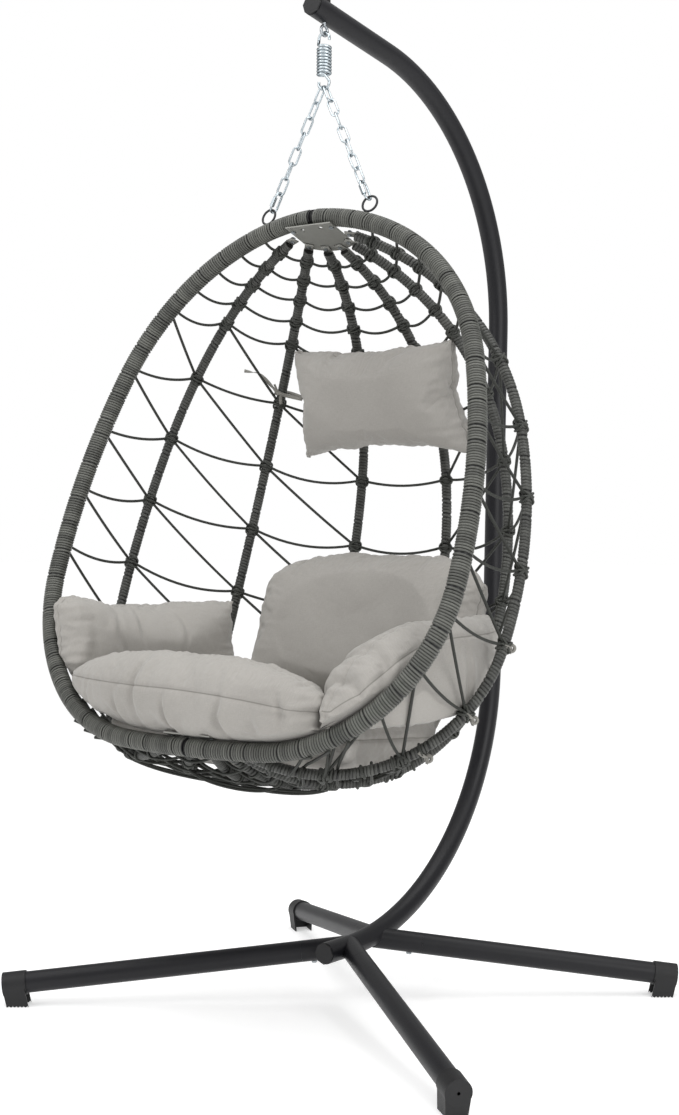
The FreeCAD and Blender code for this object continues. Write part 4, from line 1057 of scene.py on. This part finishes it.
def finish_cushion(piece, name, cushion, place, lying):
    """Creases and covers a stuffed cushion, clear of those that already lie there."""
    finer = piece.modifiers.new("finer", "SUBSURF")
    finer.levels = finer.render_levels = 1
    mesh = evened(piece)
    back = (place @ MM).inverted()
    turned = place.inverted().to_3x3()
    made = [crease(back @ v.co, turned @ v.normal, name, cushion) for v in mesh.vertices]
    points = [v.co + v.normal * (move * 0.001) for v, (move, _) in zip(mesh.vertices, made)]
    if not name.startswith("pillow"):
        points = kept_inside(kept_apart(points, lying))
    for vertex, point in zip(mesh.vertices, points):
        vertex.co = point
    seam = mesh.attributes.new("seam", "FLOAT", "POINT")
    seam.data.foreach_set("value", [line for _, line in made])
    cloth_map = mesh.uv_layers.new(name="UVMap")
    flat = [back @ v.co * 0.001 for v in mesh.vertices]
    for loop in mesh.loops:
        own = flat[loop.vertex_index]
        cloth_map.data[loop.index].uv = (own.x, own.y + own.z)
    mesh.materials.clear()
    mesh.materials.append(CLOTH)
    mesh.shade_smooth()
    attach(piece, "basket")
    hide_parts(name)
    faces = [tuple(p.vertices) for p in mesh.polygons]
    lying.append(BVHTree.FromPolygons([v.co.copy() for v in mesh.vertices], faces))


places = {name: cushion_frame(cushion) for name, cushion in CUSHIONS.items()}
bags = [cushion_start(name, places[name], cushion) for name, cushion in CUSHIONS.items()]
blow_up(bags, [cushion.swell for cushion in CUSHIONS.values()])
lying = []
for piece, (name, cushion) in zip(bags, CUSHIONS.items()):
    finish_cushion(piece, name, cushion, places[name], lying)


# Tapes that tie the cushions to the ribs

SIGHT = Vector((0.626, -0.779, 0.0))  # level, toward the side that the tapes are seen from
ACROSS = Vector((0.779, 0.626, 0.0))  # level, to the right of it
TAPE_THICK = 0.8


def tape(points, width, twists):
    """A thin flat tape along a smooth line, turned from one given angle to the next."""
    line = rounded_line(points)
    shape = bmesh.new()
    rings = []
    for k, point in enumerate(line):
        way = (line[min(k + 1, len(line) - 1)] - line[max(k - 1, 0)]).normalized()
        t = k / (len(line) - 1) * (len(twists) - 1)
        low = min(int(t), len(twists) - 2)
        angle = math.radians(twists[low] + (twists[low + 1] - twists[low]) * (t - low))
        flat = way.cross(SIGHT).normalized()
        side = Matrix.Rotation(angle, 3, way) @ flat
        face = way.cross(side).normalized()
        rings.append([
            shape.verts.new(point + side * (a * width / 2) + face * (b * TAPE_THICK / 2))
            for a, b in ((-1, -1), (1, -1), (1, 1), (-1, 1))
        ])
    for one, two in zip(rings, rings[1:]):
        for k in range(4):
            shape.faces.new((one[k], one[k - 1], two[k - 1], two[k]))
    shape.faces.new(rings[0])
    shape.faces.new(rings[-1][::-1])
    bmesh.ops.recalc_face_normals(shape, faces=shape.faces)
    mesh = bpy.data.meshes.new("tape")
    shape.to_mesh(mesh)
    shape.free()
    mesh.uv_layers.new(name="UVMap")
    return mesh


def beside(middle, right, up, near):
    """A point given by its offsets from another: to the right, up and to the front."""
    return middle + ACROSS * right + Z * up + SIGHT * near


# The pillow's tapes by their offsets from the rib: one past it to a loose end, one round it, and
# the short end of the knot
LOOSE_TAPE = [
    (14, -3, 15), (2, 0, 17), (-11, 7, 13), (-17, 14, 5), (-28, 27, 3), (-40, 39, 6),
    (-52, 46, 12), (-64, 47, 16), (-78, 49, 18),
]
ROUND_TAPE = [
    (15, 8, -6), (2, 6, -15), (-14, 4, -4), (-10, 2, 14), (1, 3, 16), (-3, -8, 15), (-1, -20, 14),
]
SHORT_END = [(-8, 4, 14), (-11, 12, 13), (-15, 22, 14)]

# Length along the last rib, and the loop's offset from it
TIE_LOOPS = [(953, 13, -5), (1090, 14, -12), (1196, 18, -12)]

rib_spot = CHAIR @ RIBS[1].at(385)[0]
pillow_side = Vector((-176, 30, 1211))
loose, round_rib, short = [
    [beside(rib_spot, *offset) for offset in offsets]
    for offsets in (LOOSE_TAPE, ROUND_TAPE, SHORT_END)
]
tapes = [
    tape([pillow_side] + loose, 7.5, (10, 0, 20, 60, 10, 30, 100, 20)),
    tape([pillow_side + Vector((0, 0, 4))] + round_rib, 7.0, (0, 20, 0, -30, 0, 10)),
    tape(short, 5.0, (0, 40)),
]
for length, right, up in TIE_LOOPS:
    spot = CHAIR @ RIBS[5].at(length)[0]
    middle = beside(spot, right, up, 2)
    for turn, size in ((0, 6.5), (35, 5)):
        ring = ring_points(middle, Matrix.Rotation(math.radians(turn), 3, "Z") @ SIGHT, size, 14)
        tapes.append(tape(ring + ring[:2], 5.0, (60, 20, 80)))
    tail = [spot + SIGHT * 12, beside(spot, 8, up / 2, 11), middle, beside(middle, -3, -9, 0)]
    tapes.append(tape(tail, 6.0, (20, 50)))
for mesh in tapes:
    mesh.transform(MM)
add_piece("cushion_ties", merged(tapes), TAPE, "basket")


# Floor, light and camera

floor_shape = bmesh.new()
bmesh.ops.create_circle(floor_shape, cap_ends=True, segments=96, radius=40.0)
floor_mesh = bpy.data.meshes.new("floor")
floor_shape.to_mesh(floor_mesh)
floor_shape.free()
floor = bpy.data.objects.new("floor", floor_mesh)
SCENE.collection.objects.link(floor)
pale = Finish("pale_floor", Roughness=0.9, Specular_IOR_Level=0.1)
across, along, _ = pale.axes()
far = ((across * across + along * along) ** 0.5 + pale.grain(0.6, 2.0) * 0.2).band(1.2, 7.0)
pale.colour(far, shade(236, 236, 236), (0, 0, 0, 1))
stops = [(0.0, (0.42, 0.42, 0.42, 1)), (1.0, (1, 1, 1, 1))]
glow = pale.node("ShaderNodeValToRGB", {"stops": stops}, {0: far})
pale.put(pale.shader.inputs["Emission Color"], glow.outputs[0])
pale.shader.inputs["Emission Strength"].default_value = 1.0
floor_mesh.materials.append(pale.material)

world = bpy.data.worlds.new("studio")
SCENE.world = world
world.use_nodes = True
sky = world.node_tree.nodes["Background"]
sky.inputs["Color"].default_value = (1, 1, 1, 1)
seen = world.node_tree.nodes.new("ShaderNodeLightPath")
bright = world.node_tree.nodes.new("ShaderNodeMapRange")
bright.inputs["To Min"].default_value = 0.5
world.node_tree.links.new(seen.outputs["Is Camera Ray"], bright.inputs["Value"])
world.node_tree.links.new(bright.outputs[0], sky.inputs["Strength"])
SCENE.view_settings.view_transform = "Standard"


def soft_box(name, place, aim_at, size, power):
    """A large square studio light."""
    light = bpy.data.lights.new(name, "AREA")
    light.shape = "SQUARE"
    light.size = size
    light.energy = power
    holder = bpy.data.objects.new(name, light)
    SCENE.collection.objects.link(holder)
    holder.location = place
    holder.rotation_mode = "QUATERNION"
    holder.rotation_quaternion = (Vector(aim_at) - Vector(place)).to_track_quat("-Z", "Y")


soft_box("key", (-1.6, -4.2, 3.4), (0, -0.1, 0.9), 2.4, 76)
soft_box("fill", (4.2, -1.6, 2.2), (0, -0.1, 0.9), 2.6, 75)
soft_box("top", (0.4, -0.4, 4.4), (0, 0, 0.9), 4.2, 140)

CAMERA_AT = 2.0163, -2.7702, 0.95
camera = bpy.data.objects.new("camera", bpy.data.cameras.new("camera"))
SCENE.collection.objects.link(camera)
SCENE.camera = camera
camera.data.sensor_width = 36.0
camera.data.lens = 55.4
camera.data.clip_end = 100.0
azimuth, pitch, roll = math.radians(36.8), math.radians(1.06), math.radians(0.27)
ahead = Vector((
    -math.sin(azimuth) * math.cos(pitch), math.cos(azimuth) * math.cos(pitch), -math.sin(pitch)
))
level = Vector((math.cos(azimuth), math.sin(azimuth), 0))
upright = level.cross(ahead)
right = level * math.cos(roll) + upright * math.sin(roll)
upright = upright * math.cos(roll) - level * math.sin(roll)
camera.matrix_world = (
    Matrix.Translation(CAMERA_AT)
    @ Matrix((right, upright, -ahead)).transposed().to_4x4()
)
